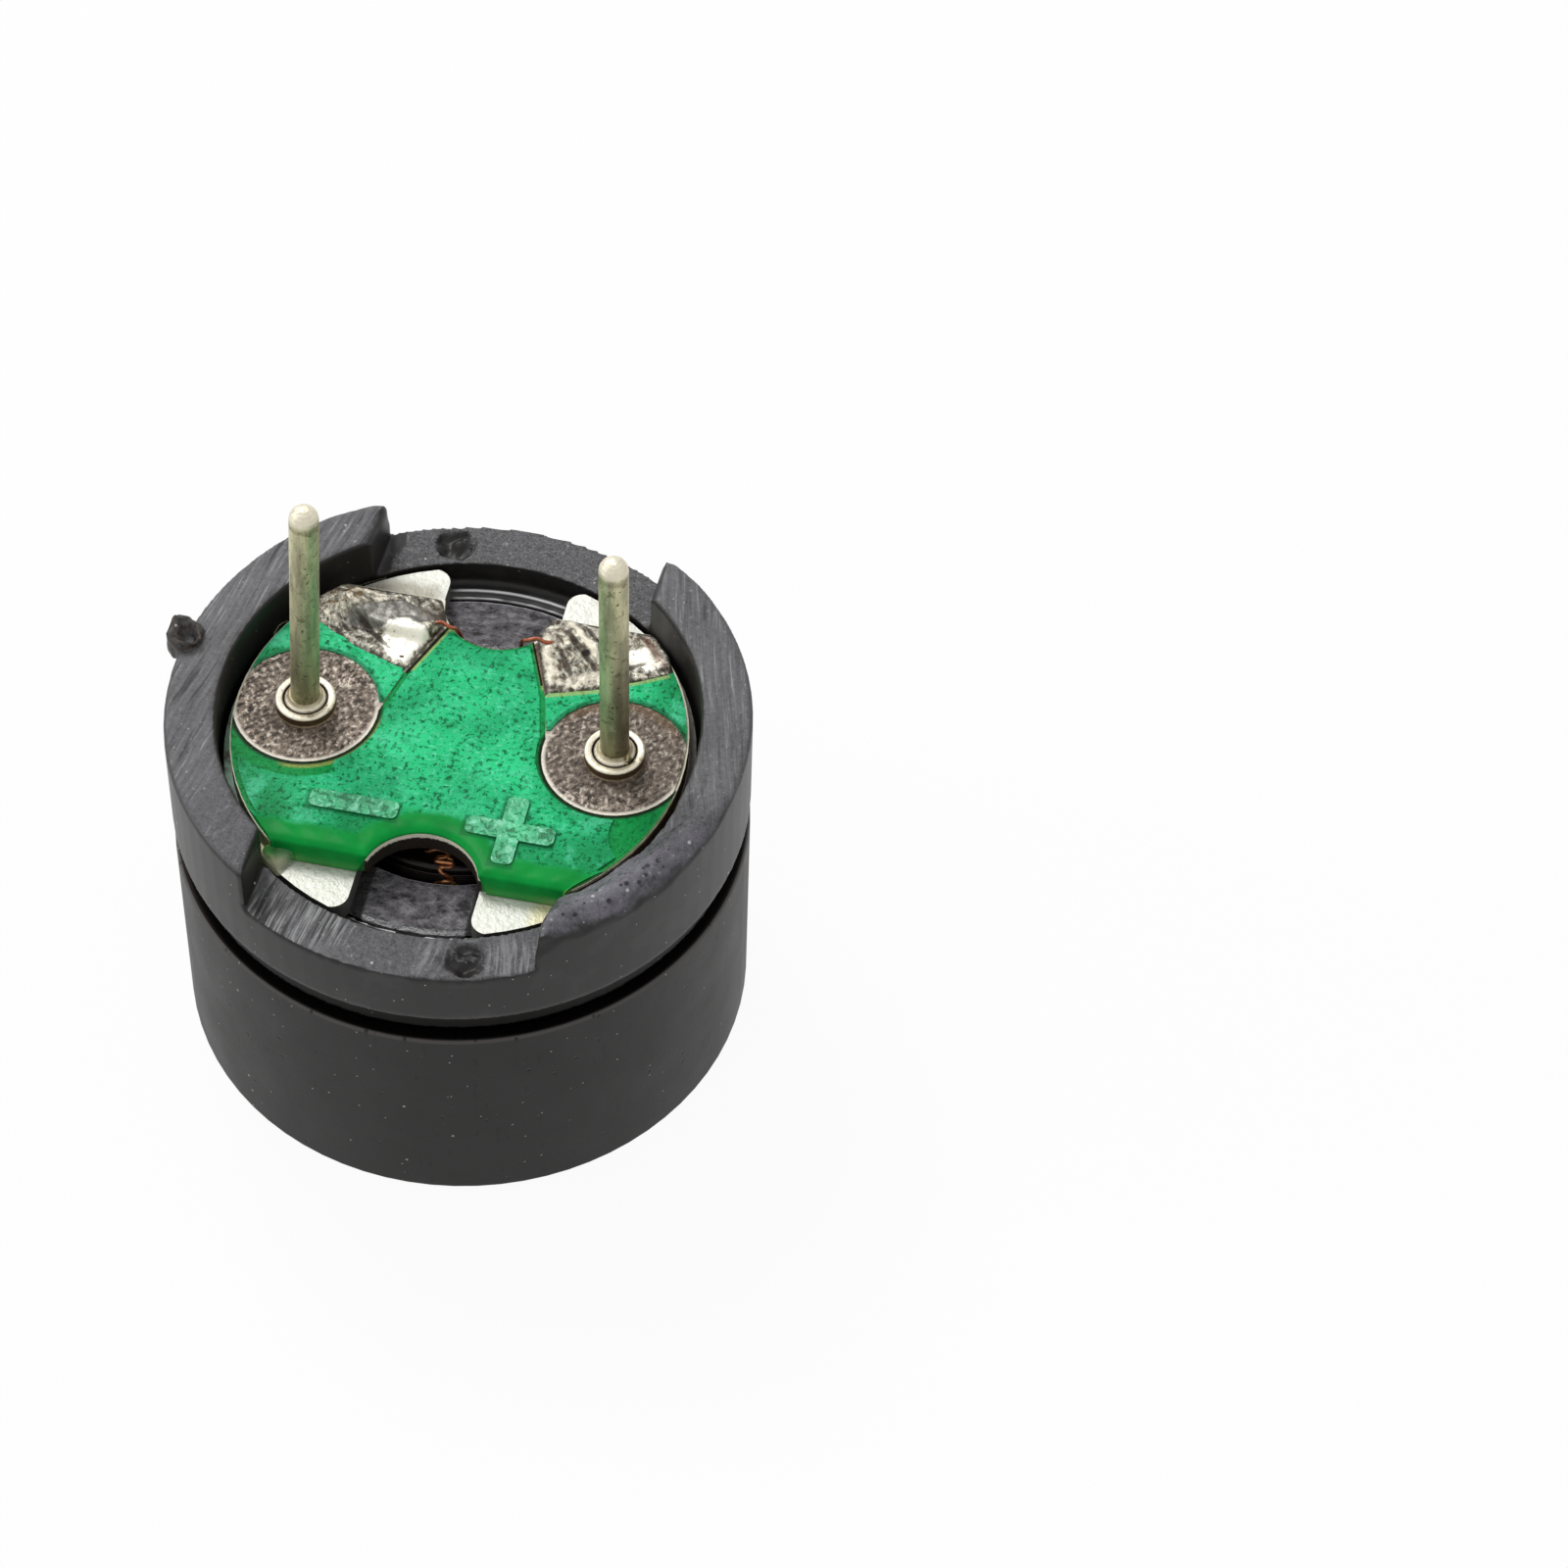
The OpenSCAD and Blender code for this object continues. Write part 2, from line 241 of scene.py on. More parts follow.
class Paint(Nodes):
    """Builds one procedural finish round a Principled shader. Lengths are in millimetres."""

    def __init__(self, name, **constants):
        self.material = bpy.data.materials.new(name)
        self.material.use_nodes = True
        super().__init__(self.material.node_tree)
        self.base = None
        self.shader = self.tree.nodes["Principled BSDF"]
        for socket, value in constants.items():
            self.shader.inputs[socket.replace("_", " ")].default_value = value
        here = self.node("ShaderNodeTexCoord", {}, {}, "Object")
        self.place = self.node("ShaderNodeVectorMath", {"operation": "SCALE"}, {0: here, 3: 1000.0})
        self.x, self.y, self.z = self.split(self.place)
        self.r = (self.x * self.x + self.y * self.y) ** 0.5
        self.up = self.split(self.node("ShaderNodeNewGeometry", {}, {}, "Normal"))[2]

    def split(self, vector):
        parts = self.node("ShaderNodeSeparateXYZ", {}, {0: vector})
        return [Value(self, socket) for socket in parts.socket.node.outputs]

    def join(self, x, y, z):
        return self.node("ShaderNodeCombineXYZ", {}, {0: x, 1: y, 2: z})

    def noise(self, scale, detail=3.0, rough=0.55, place=None, warp=0.0):
        return self.node(
            "ShaderNodeTexNoise",
            {},
            {
                "Vector": place or self.place,
                "Scale": scale,
                "Detail": detail,
                "Roughness": rough,
                "Distortion": warp,
            },
        )

    def stretched(self, x, y, z=1.0, detail=3.0, rough=0.6):
        """Noise with its own scale along each axis."""
        return self.noise(1.0, detail, rough, self.join(self.x * x, self.y * y, self.z * z))

    def cells(self, scale, output="Distance", feature="F1", place=None):
        return self.node(
            "ShaderNodeTexVoronoi",
            {"feature": feature},
            {"Vector": place or self.place, "Scale": scale},
            output,
        )

    def specks(self, scale, size, share, place=None):
        """Round specks: one to a cell, in that share of the cells, of that radius in millimetres."""
        lot = self.split(self.cells(scale, "Color", place=place))[0]
        return self.cells(scale, place=place).rise(size * scale, size * scale * 0.5) * (
            lot.rise(share, share - 0.02)
        )

    def patch(self, x, y, rx, ry, edge=0.25, wander=0.0, turn=0.0):
        """1 inside a soft-edged oval of the plan view and 0 outside it."""
        c, s = math.cos(math.radians(turn)), math.sin(math.radians(turn))
        u = ((self.x - x) * c + (self.y - y) * s) / rx
        v = ((self.y - y) * c - (self.x - x) * s) / ry
        far = (u * u + v * v) ** 0.5
        if wander:
            far = far + (self.noise(3.0, 3.0) - 0.5) * wander
        return far.rise(1 + edge, 1 - edge)

    def slab(self, x, y, rx, ry, edge=0.25, turn=0.0):
        """1 inside a soft-edged box of the plan view and 0 outside it."""
        c, s = math.cos(math.radians(turn)), math.sin(math.radians(turn))
        u = abs((self.x - x) * c + (self.y - y) * s) - rx
        v = abs((self.y - y) * c - (self.x - x) * s) - ry
        return u.high(v).rise(edge, 0.0)

    def reach(self, x, y):
        """Distance from a point of the plan view."""
        return ((self.x - x) * (self.x - x) + (self.y - y) * (self.y - y)) ** 0.5

    def pad_reach(self):
        """Distance from the axis of the nearer pin."""
        side = abs(self.x) - PAD_X
        return (side * side + self.y * self.y) ** 0.5

    def mix(self, factor, first, second):
        def full(c):
            return c if isinstance(c, Value) else (*c[:3], 1.0)

        return self.node(
            "ShaderNodeMix",
            {"data_type": "RGBA"},
            {0: factor, 6: full(first), 7: full(second)},
            2,
        )

    def coat(self, mask, *colour):
        """Lays display values, or one colour or socket, over the base where the mask is 1."""
        self.base = self.mix(mask, self.base, tone(*colour) if len(colour) == 3 else colour[0])

    def shade(self, value, tint, dark, light):
        """The tint, from dark to light times its strength as the value goes from 0 to 1."""
        return self.mix(
            value, tuple(c * dark for c in tint[:3]), tuple(min(1.0, c * light) for c in tint[:3])
        )

    def finish(self, roughness=None, metallic=None, bump=None, depth=0.01, **others):
        """Links what changes over the surface. depth is the bump's height in millimetres."""
        wanted = {"Base Color": self.base, "Roughness": roughness, "Metallic": metallic, **others}
        for socket, value in wanted.items():
            if isinstance(value, Value):
                self.tree.links.new(value.socket, self.shader.inputs[socket])
            elif value is not None:
                self.shader.inputs[socket].default_value = value
        if bump is not None:
            normal = self.node(
                "ShaderNodeBump", {}, {"Strength": 1.0, "Distance": depth * MM, "Height": bump}, 0
            )
            self.tree.links.new(normal.socket, self.shader.inputs["Normal"])
        return self.material


# ---- finishes ----
# Each one lays its coats over a base, from the broad ones to the small ones. Places and heights are
# in millimetres on the part, and bare colours are display values from 0 to 255.


def case_plastic(tint):
    paint = Paint("case_plastic", Specular_IOR_Level=0.24)
    grain = paint.noise(16.0, 3.0)
    cloud = paint.noise(0.8, 4.0)
    dust = paint.specks(1.9, 0.04, 0.35) * 0.7
    dust = dust.high(paint.specks(0.7, 0.055, 0.35)).high(paint.specks(3.6, 0.026, 0.4) * 0.6)
    pits = paint.specks(2.3, 0.06, 0.3)
    nicks = paint.specks(1.0, 0.3, 0.35, paint.join(paint.x * 5.0, paint.y * 5.0, paint.z * 1.6))
    # painted highlight: the edge mask lays a lighter grey line along the cup's top outer edge
    edge = paint.z.rise(CUP_Z - 0.12, CUP_Z - 0.05) * paint.r.rise(CASE_R - 0.1, CASE_R - 0.03)
    # painted shade: top masks the cup's top face inside the groove, painted darker and made metallic
    # so it shows no reflection
    top = paint.z.rise(CUP_Z - 0.06, CUP_Z - 0.03) * paint.r.rise(CASE_R - 0.03, CASE_R - 0.07)
    paint.base = paint.shade(cloud * 0.5 + grain * 0.5, tint, 0.7, 1.4)
    paint.coat(edge * 0.6, 96, 94, 92)
    paint.coat(dust * 0.85, 206, 202, 192)
    paint.coat((pits * 0.6).high(nicks * 0.8), 8, 8, 8)
    paint.coat(top, paint.shade(grain, tone(24, 21, 20), 0.3, 1.6))
    height = grain * 0.25 - pits + dust
    return paint.finish(0.36 + 0.16 * cloud + 0.08 * grain, top * 0.95, height, 0.012)


def ring_plastic(tint, sanded, streak_depth):
    paint = Paint("ring_plastic", Specular_IOR_Level=0.3)
    cloud = paint.noise(1.1, 4.0)
    grain = paint.noise(8.0, 4.0, 0.7)
    grit = paint.noise(20.0, 3.0)
    over_slot = paint.z - SLOT_Z
    worn = paint.x.rise(-0.5, 1.5) * paint.y.rise(0.5, -1.0)
    tilt = paint.up + (paint.noise(2.6, 4.0, 0.65) - 0.5) * worn * 0.7
    flat = tilt.rise(0.72, 0.93).high(worn * tilt.rise(0.25, 0.8)) * over_slot.rise(-0.1, -0.05)
    lean = paint.y * paint.x.rise(-2.0, 4.5, -0.18, 0.26)
    across = paint.x + lean + paint.noise(0.4, 2.0) * 0.25
    fine = paint.noise(1.0, 3.0, 0.6, paint.join(across * 9.0, paint.y * 0.5, paint.z))
    hair = paint.noise(1.0, 2.0, 0.6, paint.join(across * 22.0, paint.y * 0.9, paint.z))
    cast = over_slot.rise(0.35, 0.15) * paint.x.rise(-1.6, -0.8).high(paint.y.rise(0.0, 1.0))
    polished = paint.x.rise(1.6, 3.0) * paint.y.rise(-1.1, -2.3) * over_slot.rise(0.05, 0.25)
    quiet = paint.patch(-3.7, -4.0, 1.15, 1.15, 0.35) * over_slot.rise(0.25, 0.45)
    still = cast.high(polished * 0.85).high(quiet * 0.8)
    lines = hair.rise(0.3, 0.7) * 0.3 + fine.rise(0.3, 0.7) * 0.25
    coarse = grain.rise(0.25, 0.75) * 0.6 + grit.rise(0.3, 0.7) * 0.4
    mixed = coarse * (0.45 + still * 0.5) + lines * (1.0 - still)
    paint.base = paint.shade(mixed, sanded, 0.3, 1.85)
    paint.coat(quiet * 0.3, 58, 55, 60)
    paint.coat(cast * 0.3, 44, 44, 46)
    sandy = cast * paint.y.rise(-1.0, 1.0, 0.3, 1.0)
    paint.coat(sandy * grit.rise(0.56, 0.66) * 0.5, 134, 134, 136)
    paint.coat(sandy * grit.rise(0.44, 0.34) * 0.6, 26, 25, 26)
    sheen = paint.shade(cloud.rise(0.3, 0.7) * 0.5 + coarse * 0.5, tone(99, 97, 105), 0.3, 1.7)
    paint.coat(polished * 0.75, sheen)
    scored = fine.rise(0.43, 0.33) * cloud.rise(0.42, 0.58) * (1.0 - still * 0.8)
    paint.coat(scored * 0.75, 36, 34, 36)
    bright = hair.rise(0.58, 0.7) * fine.rise(0.48, 0.62) * (1.0 - still * 0.8)
    paint.coat(bright * 0.7, 166, 166, 168)
    raw = paint.patch(-2.2, -5.05, 1.2, 0.6, 0.3, 0.6)
    paint.coat(raw * hair.rise(0.52, 0.62) * 0.6, 160, 160, 160)
    paint.coat(raw * hair.rise(0.48, 0.38) * 0.75, 24, 23, 23)
    rubbed = paint.patch(2.3, -5.1, 0.5, 0.55, 0.4)
    rubbed = rubbed.high(paint.patch(0.75, -5.45, 0.3, 0.6, 0.5) * 0.8) * over_slot.rise(0.25, 0.15)
    paint.coat(rubbed * hair.rise(0.45, 0.6) * 0.5, 150, 150, 154)
    crumbs = grain.rise(0.62, 0.72)
    paint.coat(crumbs * 0.55, 172, 172, 172)
    paint.coat(grain.rise(0.4, 0.3) * 0.5, 40, 39, 40)
    pits = paint.specks(3.8, 0.07, 0.7).high(paint.specks(5.6, 0.045, 0.7))
    pits = pits * polished * paint.r.near(5.45, 0.5).rise(0.0, 0.4)
    paint.coat(pits * 0.9, 18, 16, 20)
    glints = paint.specks(4.6, 0.05, 0.6) * polished * paint.r.rise(5.3, 5.5)
    paint.coat(glints * cloud.rise(0.45, 0.55) * 0.8, 196, 194, 200)
    # painted shade: the dimples' hollows are painted near black in ragged patches
    for x, y in DIMPLES:
        rough = paint.patch(x, y, 0.4, 0.36, 0.2, 1.3) * grain.rise(0.66, 0.5)
        paint.coat(rough * 0.95, 10, 9, 10)
    # two ragged near-black strips on the back slot floor beside the left rim end
    dark_strips = paint.patch(-2.62, 5.1, 0.16, 0.42, 0.3, 1.6)
    dark_strips = dark_strips.high(paint.patch(-2.7, 4.4, 0.12, 0.4, 0.3, 1.6))
    paint.coat(dark_strips * 0.9, 14, 13, 14)
    side = paint.shade(cloud * 0.5 + grit * 0.5, tint, 0.8, 1.6)
    side = paint.mix(cloud.rise(0.52, 0.66) * 0.15, side, tone(74, 70, 70))
    wear = paint.z.rise(RIM_Z - 0.12, RIM_Z - 0.03) * paint.r.rise(CASE_R - 0.2, CASE_R - 0.06)
    side = paint.mix(wear * 0.5, side, sanded)
    # painted shade: the groove over the cup is painted near black and made metallic, so it shows no
    # reflection
    groove_shade = paint.z.rise(GROOVE_Z, GROOVE_Z - 0.03) * paint.r.rise(CASE_R - 0.04, CASE_R - 0.08)
    torn = paint.z.rise(RIM_Z + 0.01, RIM_Z + 0.05).high(paint.r.rise(CASE_R + 0.02, CASE_R + 0.05))
    paint.base = paint.mix(flat, side, paint.base)
    paint.coat(groove_shade, 16, 14, 13)
    # painted highlight: two near-white lines along the steps at the foot of the bore, in the middle of
    # the slot
    stair_highlights = paint.r.near(BORE_R - 0.26, 0.04).high(paint.r.near(BORE_R - 0.43, 0.035))
    stair_highlights = stair_highlights * paint.z.near(MAGNET_Z - 0.03, 0.1) * abs(paint.x).rise(1.4, 1.0)
    paint.coat(stair_highlights * 0.95, 250, 250, 252)
    stub = paint.shade(grain.rise(0.35, 0.65), tone(56, 52, 50), 0.3, 2.2)
    paint.coat(torn, stub)
    crumb = paint.patch(-3.06, -5.14, 0.12, 0.09, 0.4, 1.2) * paint.z.rise(8.1, 8.25)
    crumb = crumb.high(paint.patch(-2.92, -4.5, 0.1, 0.2, 0.4, 1.4) * paint.z.rise(8.2, 8.4) * 0.5)
    paint.coat(crumb * 0.9, 204, 178, 128)
    dust = (paint.specks(1.9, 0.04, 0.35) * 0.85).high(paint.specks(4.2, 0.024, 0.45) * 0.6)
    paint.coat(dust * (1.0 - groove_shade * 0.7), 206, 203, 196)
    height = flat * (hair * 0.5 + fine * 0.4) * (1.0 - still) + flat * grain * 0.9 - pits
    height = height + grit * 0.12 + dust * 0.6
    return paint.finish(0.42 + 0.16 * flat, groove_shade, height, streak_depth / MM)


def green_lacquer(tint, deep):
    paint = Paint("green_lacquer", Specular_IOR_Level=0.07, Coat_Weight=0.03, Coat_Roughness=0.15)
    raised = paint.z.rise(BOARD_Z - 0.005, BOARD_Z + 0.02)
    from_chord = paint.y - FRONT_CHORD
    from_edge = from_chord.low(paint.reach(*FRONT_CUT) - CUT_R)
    speck = paint.stretched(10.0, 7.5)
    dash = paint.stretched(7.0, 12.0)
    cloud = paint.noise(0.75, 4.0)
    reach = paint.pad_reach()
    pits = speck.rise(0.43, 0.35) + dash.rise(0.41, 0.34) * 0.8
    glow = dash.rise(0.53, 0.63) + speck.rise(0.56, 0.66) * 0.8
    shore = from_chord.rise(2.0, 0.7).high(paint.r.rise(3.4, 4.6))
    shore = shore.high(reach.rise(2.2, 1.55) * paint.y.rise(0.8, -0.6))
    paint.base = paint.shade(cloud.rise(0.3, 0.7), tint, 0.7, 1.12)
    paint.coat(glow.clamp() * cloud.rise(0.3, 0.55) * 0.6, 104, 232, 180)
    paint.coat(shore * cloud.rise(0.8, 0.3) * 0.7, 16, 132, 66)
    paint.coat(pits.clamp() * 0.9, 10, 96, 54)
    thin = (1.0 - raised) * paint.up.rise(0.5, 0.8)
    paint.coat(thin * (0.5 + 0.5 * cloud), paint.shade(speck, deep, 0.5, 1.4))
    mint = paint.noise(1.5, 4.0, 0.65, warp=0.4).rise(0.5, 0.64) * (1.0 - thin)
    paint.coat(mint * (shore * 0.45 + 0.15), 96, 222, 172)
    murk = paint.noise(2.4, 4.0, 0.65).rise(0.46, 0.34)
    paint.coat(murk * 0.35, 12, 124, 70)
    wander = (paint.noise(1.6, 3.0) - 0.5) * 0.35
    run = (from_edge + wander).rise(0.66, 0.4)
    low = paint.shade(paint.noise(2.2, 3.0), deep, 0.6, 1.4)
    paint.coat(run, low)
    milky = (abs(paint.x).rise(2.2, 3.1) * 0.8 + 0.2) * paint.z.rise(BOARD_Z - 0.2, BOARD_Z - 0.48)
    paint.coat(milky * 0.7, 172, 192, 140)
    # painted light: side lays a lighter green on the lacquer's steep step walls away from the front
    # edge, cancelling their shade
    side = paint.up.rise(0.8, 0.3) * from_edge.rise(0.1, 0.25)
    paint.coat(side * 0.6, 80, 220, 150)
    strip = paint.slab(-1.09, 2.1, 0.75, 0.04, 0.07, 68.2)
    strip = strip.high(paint.slab(1.12, 2.2, 0.8, 0.02, 0.05, 111.8) * 0.7)
    strip = strip.high(paint.slab(2.05, 1.46, 0.55, 0.03, 0.05, 18.8) * 0.8)
    strip = strip.high(paint.slab(3.2, 1.98, 0.75, 0.03, 0.05, 28.3) * 0.8)
    paint.coat(strip * 0.75, 190, 196, 120)
    under_left = reach.near(PAD_R + 0.1, 0.1) * paint.slab(-2.2, -0.9, 1.0, 0.7, 0.3)
    right_edge = paint.r.near(4.75, 0.12) * paint.x.rise(2.0, 3.0)
    bare = (under_left + right_edge).clamp() * (1.0 - raised)
    paint.coat(bare * 0.8, 176, 180, 96)
    # painted shade: gap lays dark lines round the pads and along two traces, where the foil's edges
    # are in shade
    gap = reach.near(PAD_R + 0.03, 0.1)
    gap = gap.high(paint.slab(1.04, 2.4, 0.9, 0.03, 0.03, 111.8))
    gap = gap.high(paint.slab(-1.0, 2.4, 1.2, 0.02, 0.03, 68.2))
    paint.coat(gap * (1.0 - raised * 0.45), 12, 18, 8)
    # painted shade: a darker green round each stroke of the polarity marks
    for half_x, half_y, x in ((1.0, 0.3, -1.62), (1.0, 0.3, 1.62), (0.3, 0.95, 1.62)):
        mark_outline_shade = paint.slab(x - 0.02, -2.38, half_x - 0.05, half_y - 0.05, 0.05)
        paint.coat(mark_outline_shade * 0.6, 8, 96, 50)
    height = (1.0 - run) * (glow - pits) * 0.35 + cloud * 0.8
    return paint.finish(0.34 + 0.2 * cloud, bump=height, depth=0.03)


def legend_ink(tint):
    paint = Paint("legend_ink", Specular_IOR_Level=0.25, Coat_Weight=0.1, Coat_Roughness=0.2)
    worm = paint.noise(6.5, 3.0, 0.6, warp=0.9)
    pits = worm.rise(0.46, 0.36)
    paint.base = paint.shade(paint.noise(1.6, 3.0).rise(0.3, 0.7), tint, 0.75, 1.3)
    paint.coat(worm.rise(0.53, 0.66) * 0.65, 150, 232, 196)
    paint.coat(pits * 0.8, 24, 104, 60)
    # painted shade: edge lays a dark green on the marks' side walls
    edge = paint.up.rise(0.9, 0.6)
    paint.coat(edge * 0.7, 12, 96, 50)
    return paint.finish(0.4, bump=paint.noise(5.0) - pits * 0.5, depth=0.03)


def tinned_foil(tint):
    paint = Paint("tinned_foil")
    grain = paint.stretched(10.0, 8.0, 1.0, 4.0, 0.7)
    brush = paint.noise(
        1.0, 3.0, 0.6, paint.join((paint.x + paint.y) * 3.5, (paint.y - paint.x) * 9.0, paint.z)
    )
    cloud = paint.noise(1.0, 4.0)
    reach = paint.pad_reach()
    # painted highlight: rim lays a near-white line along the front edge of each pad
    rim = reach.rise(PAD_R - 0.11, PAD_R - 0.03) * paint.y.rise(0.9, -0.2)
    shade = reach.rise(1.25, 0.6) * paint.y.rise(0.1, -0.5)
    mixed = grain.rise(0.25, 0.75) * 0.5 + brush.rise(0.25, 0.75) * 0.5
    paint.base = paint.shade(mixed, tint, 0.08, 2.8)
    paint.coat(brush.rise(0.48, 0.38) * 0.85, 36, 28, 20)
    paint.coat(grain.rise(0.54, 0.62) * 0.9, 232, 222, 208)
    paint.coat(grain.rise(0.46, 0.38) * 0.9, 34, 26, 20)
    paint.coat(cloud.rise(0.6, 0.42) * 0.3, 84, 72, 60)
    paint.coat(shade * 0.5, 52, 40, 30)
    paint.coat(paint.x.rise(-1.0, 1.0) * 0.22, 70, 64, 58)
    dots = paint.specks(2.6, 0.06, 0.5)
    paint.coat(dots * 0.8, 26, 20, 16)
    top = reach.rise(1.15, 1.4) * paint.y.rise(0.5, 1.1) * paint.x.rise(-1.0, 1.0)
    paint.coat(top * 0.6, 104, 78, 50)
    paint.coat(rim * 0.85, 240, 232, 218)
    return paint.finish(0.45 + 0.2 * cloud, 0.35, grain + brush, 0.04)


def copper_foil():
    paint = Paint("copper_foil", Metallic=1.0)
    stain = paint.noise(3.0, 4.0)
    paint.base = paint.mix(stain, tone(140, 84, 48), tone(206, 140, 92))
    return paint.finish(0.3 + 0.3 * stain, bump=paint.noise(12.0), depth=0.01)


def laminate_edge(tint):
    paint = Paint("laminate", Specular_IOR_Level=0.3)
    ply = paint.stretched(2.5, 2.5, 26.0)
    fibre = paint.stretched(12.0, 12.0, 5.0, 4.0, 0.7)
    paint.base = paint.shade(ply * 0.6 + fibre * 0.4, tint, 0.4, 1.3)
    # painted shade: the laminate round both half-round cut-outs is painted near black
    arch = paint.reach(*FRONT_CUT).rise(CUT_R + 0.12, CUT_R + 0.04)
    arch = arch.high(paint.reach(*BACK_CUT).rise(CUT_R + 0.12, CUT_R + 0.04))
    paint.coat(arch * 0.93, 15, 11, 7)
    front = paint.y.rise(FRONT_CHORD + 0.1, FRONT_CHORD + 0.05) * (1.0 - arch)
    run = paint.shade(paint.noise(2.5, 3.0), tone(14, 122, 50), 0.55, 1.5)
    milky = paint.x.rise(-2.6, -3.1).high(paint.x.rise(2.6, 3.2) * 0.6)
    run = paint.mix(milky * 0.6, run, tone(150, 176, 110))
    paint.coat(front, run)
    corner = paint.x.rise(-2.9, -3.2) * paint.y.rise(-3.0, -3.3)
    paint.coat(corner * 0.8, 128, 150, 92)
    pale = paint.x.rise(-3.6, -4.1) * paint.y.rise(0.4, -0.4)
    paint.coat(pale * fibre.rise(0.35, 0.55) * 0.75, 150, 190, 166)
    lip = paint.z.rise(BOARD_Z - 0.13, BOARD_Z - 0.09) * fibre.rise(0.25, 0.4)
    paint.coat(lip * (1.0 - front), 232, 228, 204)
    # painted highlight: a ragged pale line along the upper edge of both cut-outs
    arch_edge_highlight = paint.z + (fibre - 0.5) * 0.14
    paint.coat(arch_edge_highlight.rise(BOARD_Z - 0.18, BOARD_Z - 0.13) * arch, 248, 244, 224)
    return paint.finish(0.45 + 0.3 * fibre, bump=ply + fibre * 0.6, depth=0.03)


def pin_metal(tint):
    paint = Paint("pin_metal", Metallic=0.65)
    along = paint.join(paint.x * 4.5, paint.y * 4.5, paint.z * 0.8)
    stain = paint.noise(1.0, 4.0, 0.65, along).rise(0.3, 0.7)
    spot = paint.noise(4.5, 5.0, 0.7)
    fleck = paint.noise(9.0, 3.0, 0.6)
    foot = paint.z.rise(BOARD_Z + 0.5, BOARD_Z + 0.38)
    tip = paint.z.rise(POINT_Z, POINT_Z + 0.1)
    paint.base = paint.shade(stain * 0.6 + spot * 0.4, tint, 0.35, 1.35)
    paint.coat(paint.z.rise(10.8, 8.2) * 0.5, 104, 94, 56)
    paint.coat(spot.rise(0.55, 0.66) * 0.65, 82, 84, 50)
    paint.coat(spot.rise(0.42, 0.34) * 0.6, 214, 206, 176)
    paint.coat(fleck.rise(0.37, 0.31) * 0.85, 44, 38, 22)
    paint.coat(paint.z.near(POINT_Z - 0.08, 0.12) * 0.4, 96, 78, 60)
    reach = paint.pad_reach()
    collar = paint.mix(reach.near(0.45, 0.07), tone(238, 230, 208), tone(48, 36, 20))
    collar = paint.mix(reach.rise(0.4, 0.34) * 0.7, collar, tone(150, 130, 96))
    # painted shade: the collar's outer wall is painted dark brown, with a pale line at its foot
    wall = paint.up.rise(0.6, 0.2) * reach.rise(0.52, 0.6)
    shaded_collar_wall = paint.mix(
        paint.z.rise(BOARD_Z + 0.08, BOARD_Z + 0.03), tone(92, 72, 50), tone(206, 190, 160)
    )
    collar = paint.mix(wall, collar, shaded_collar_wall)
    collar = paint.mix(spot.rise(0.54, 0.64) * 0.6, collar, tone(112, 88, 50))
    spots = paint.patch(3.6, -0.22, 0.12, 0.09, 0.5, 2.0)
    motley = paint.mix(fleck.rise(0.5, 0.58), tone(28, 24, 10), tone(226, 214, 130))
    collar = paint.mix(spots * 0.9, collar, motley)
    brown = paint.x.rise(3.2, 3.45) * paint.z.rise(12.4, 9.6)
    paint.coat(brown * (0.35 + 0.4 * spot), 78, 56, 42)
    paint.coat(foot * reach.rise(0.3, 0.34), collar)
    paint.coat(tip * (0.5 + 0.4 * spot), 236, 228, 210)
    return paint.finish(0.34 + 0.24 * spot, bump=stain * 0.5 + spot, depth=0.02)


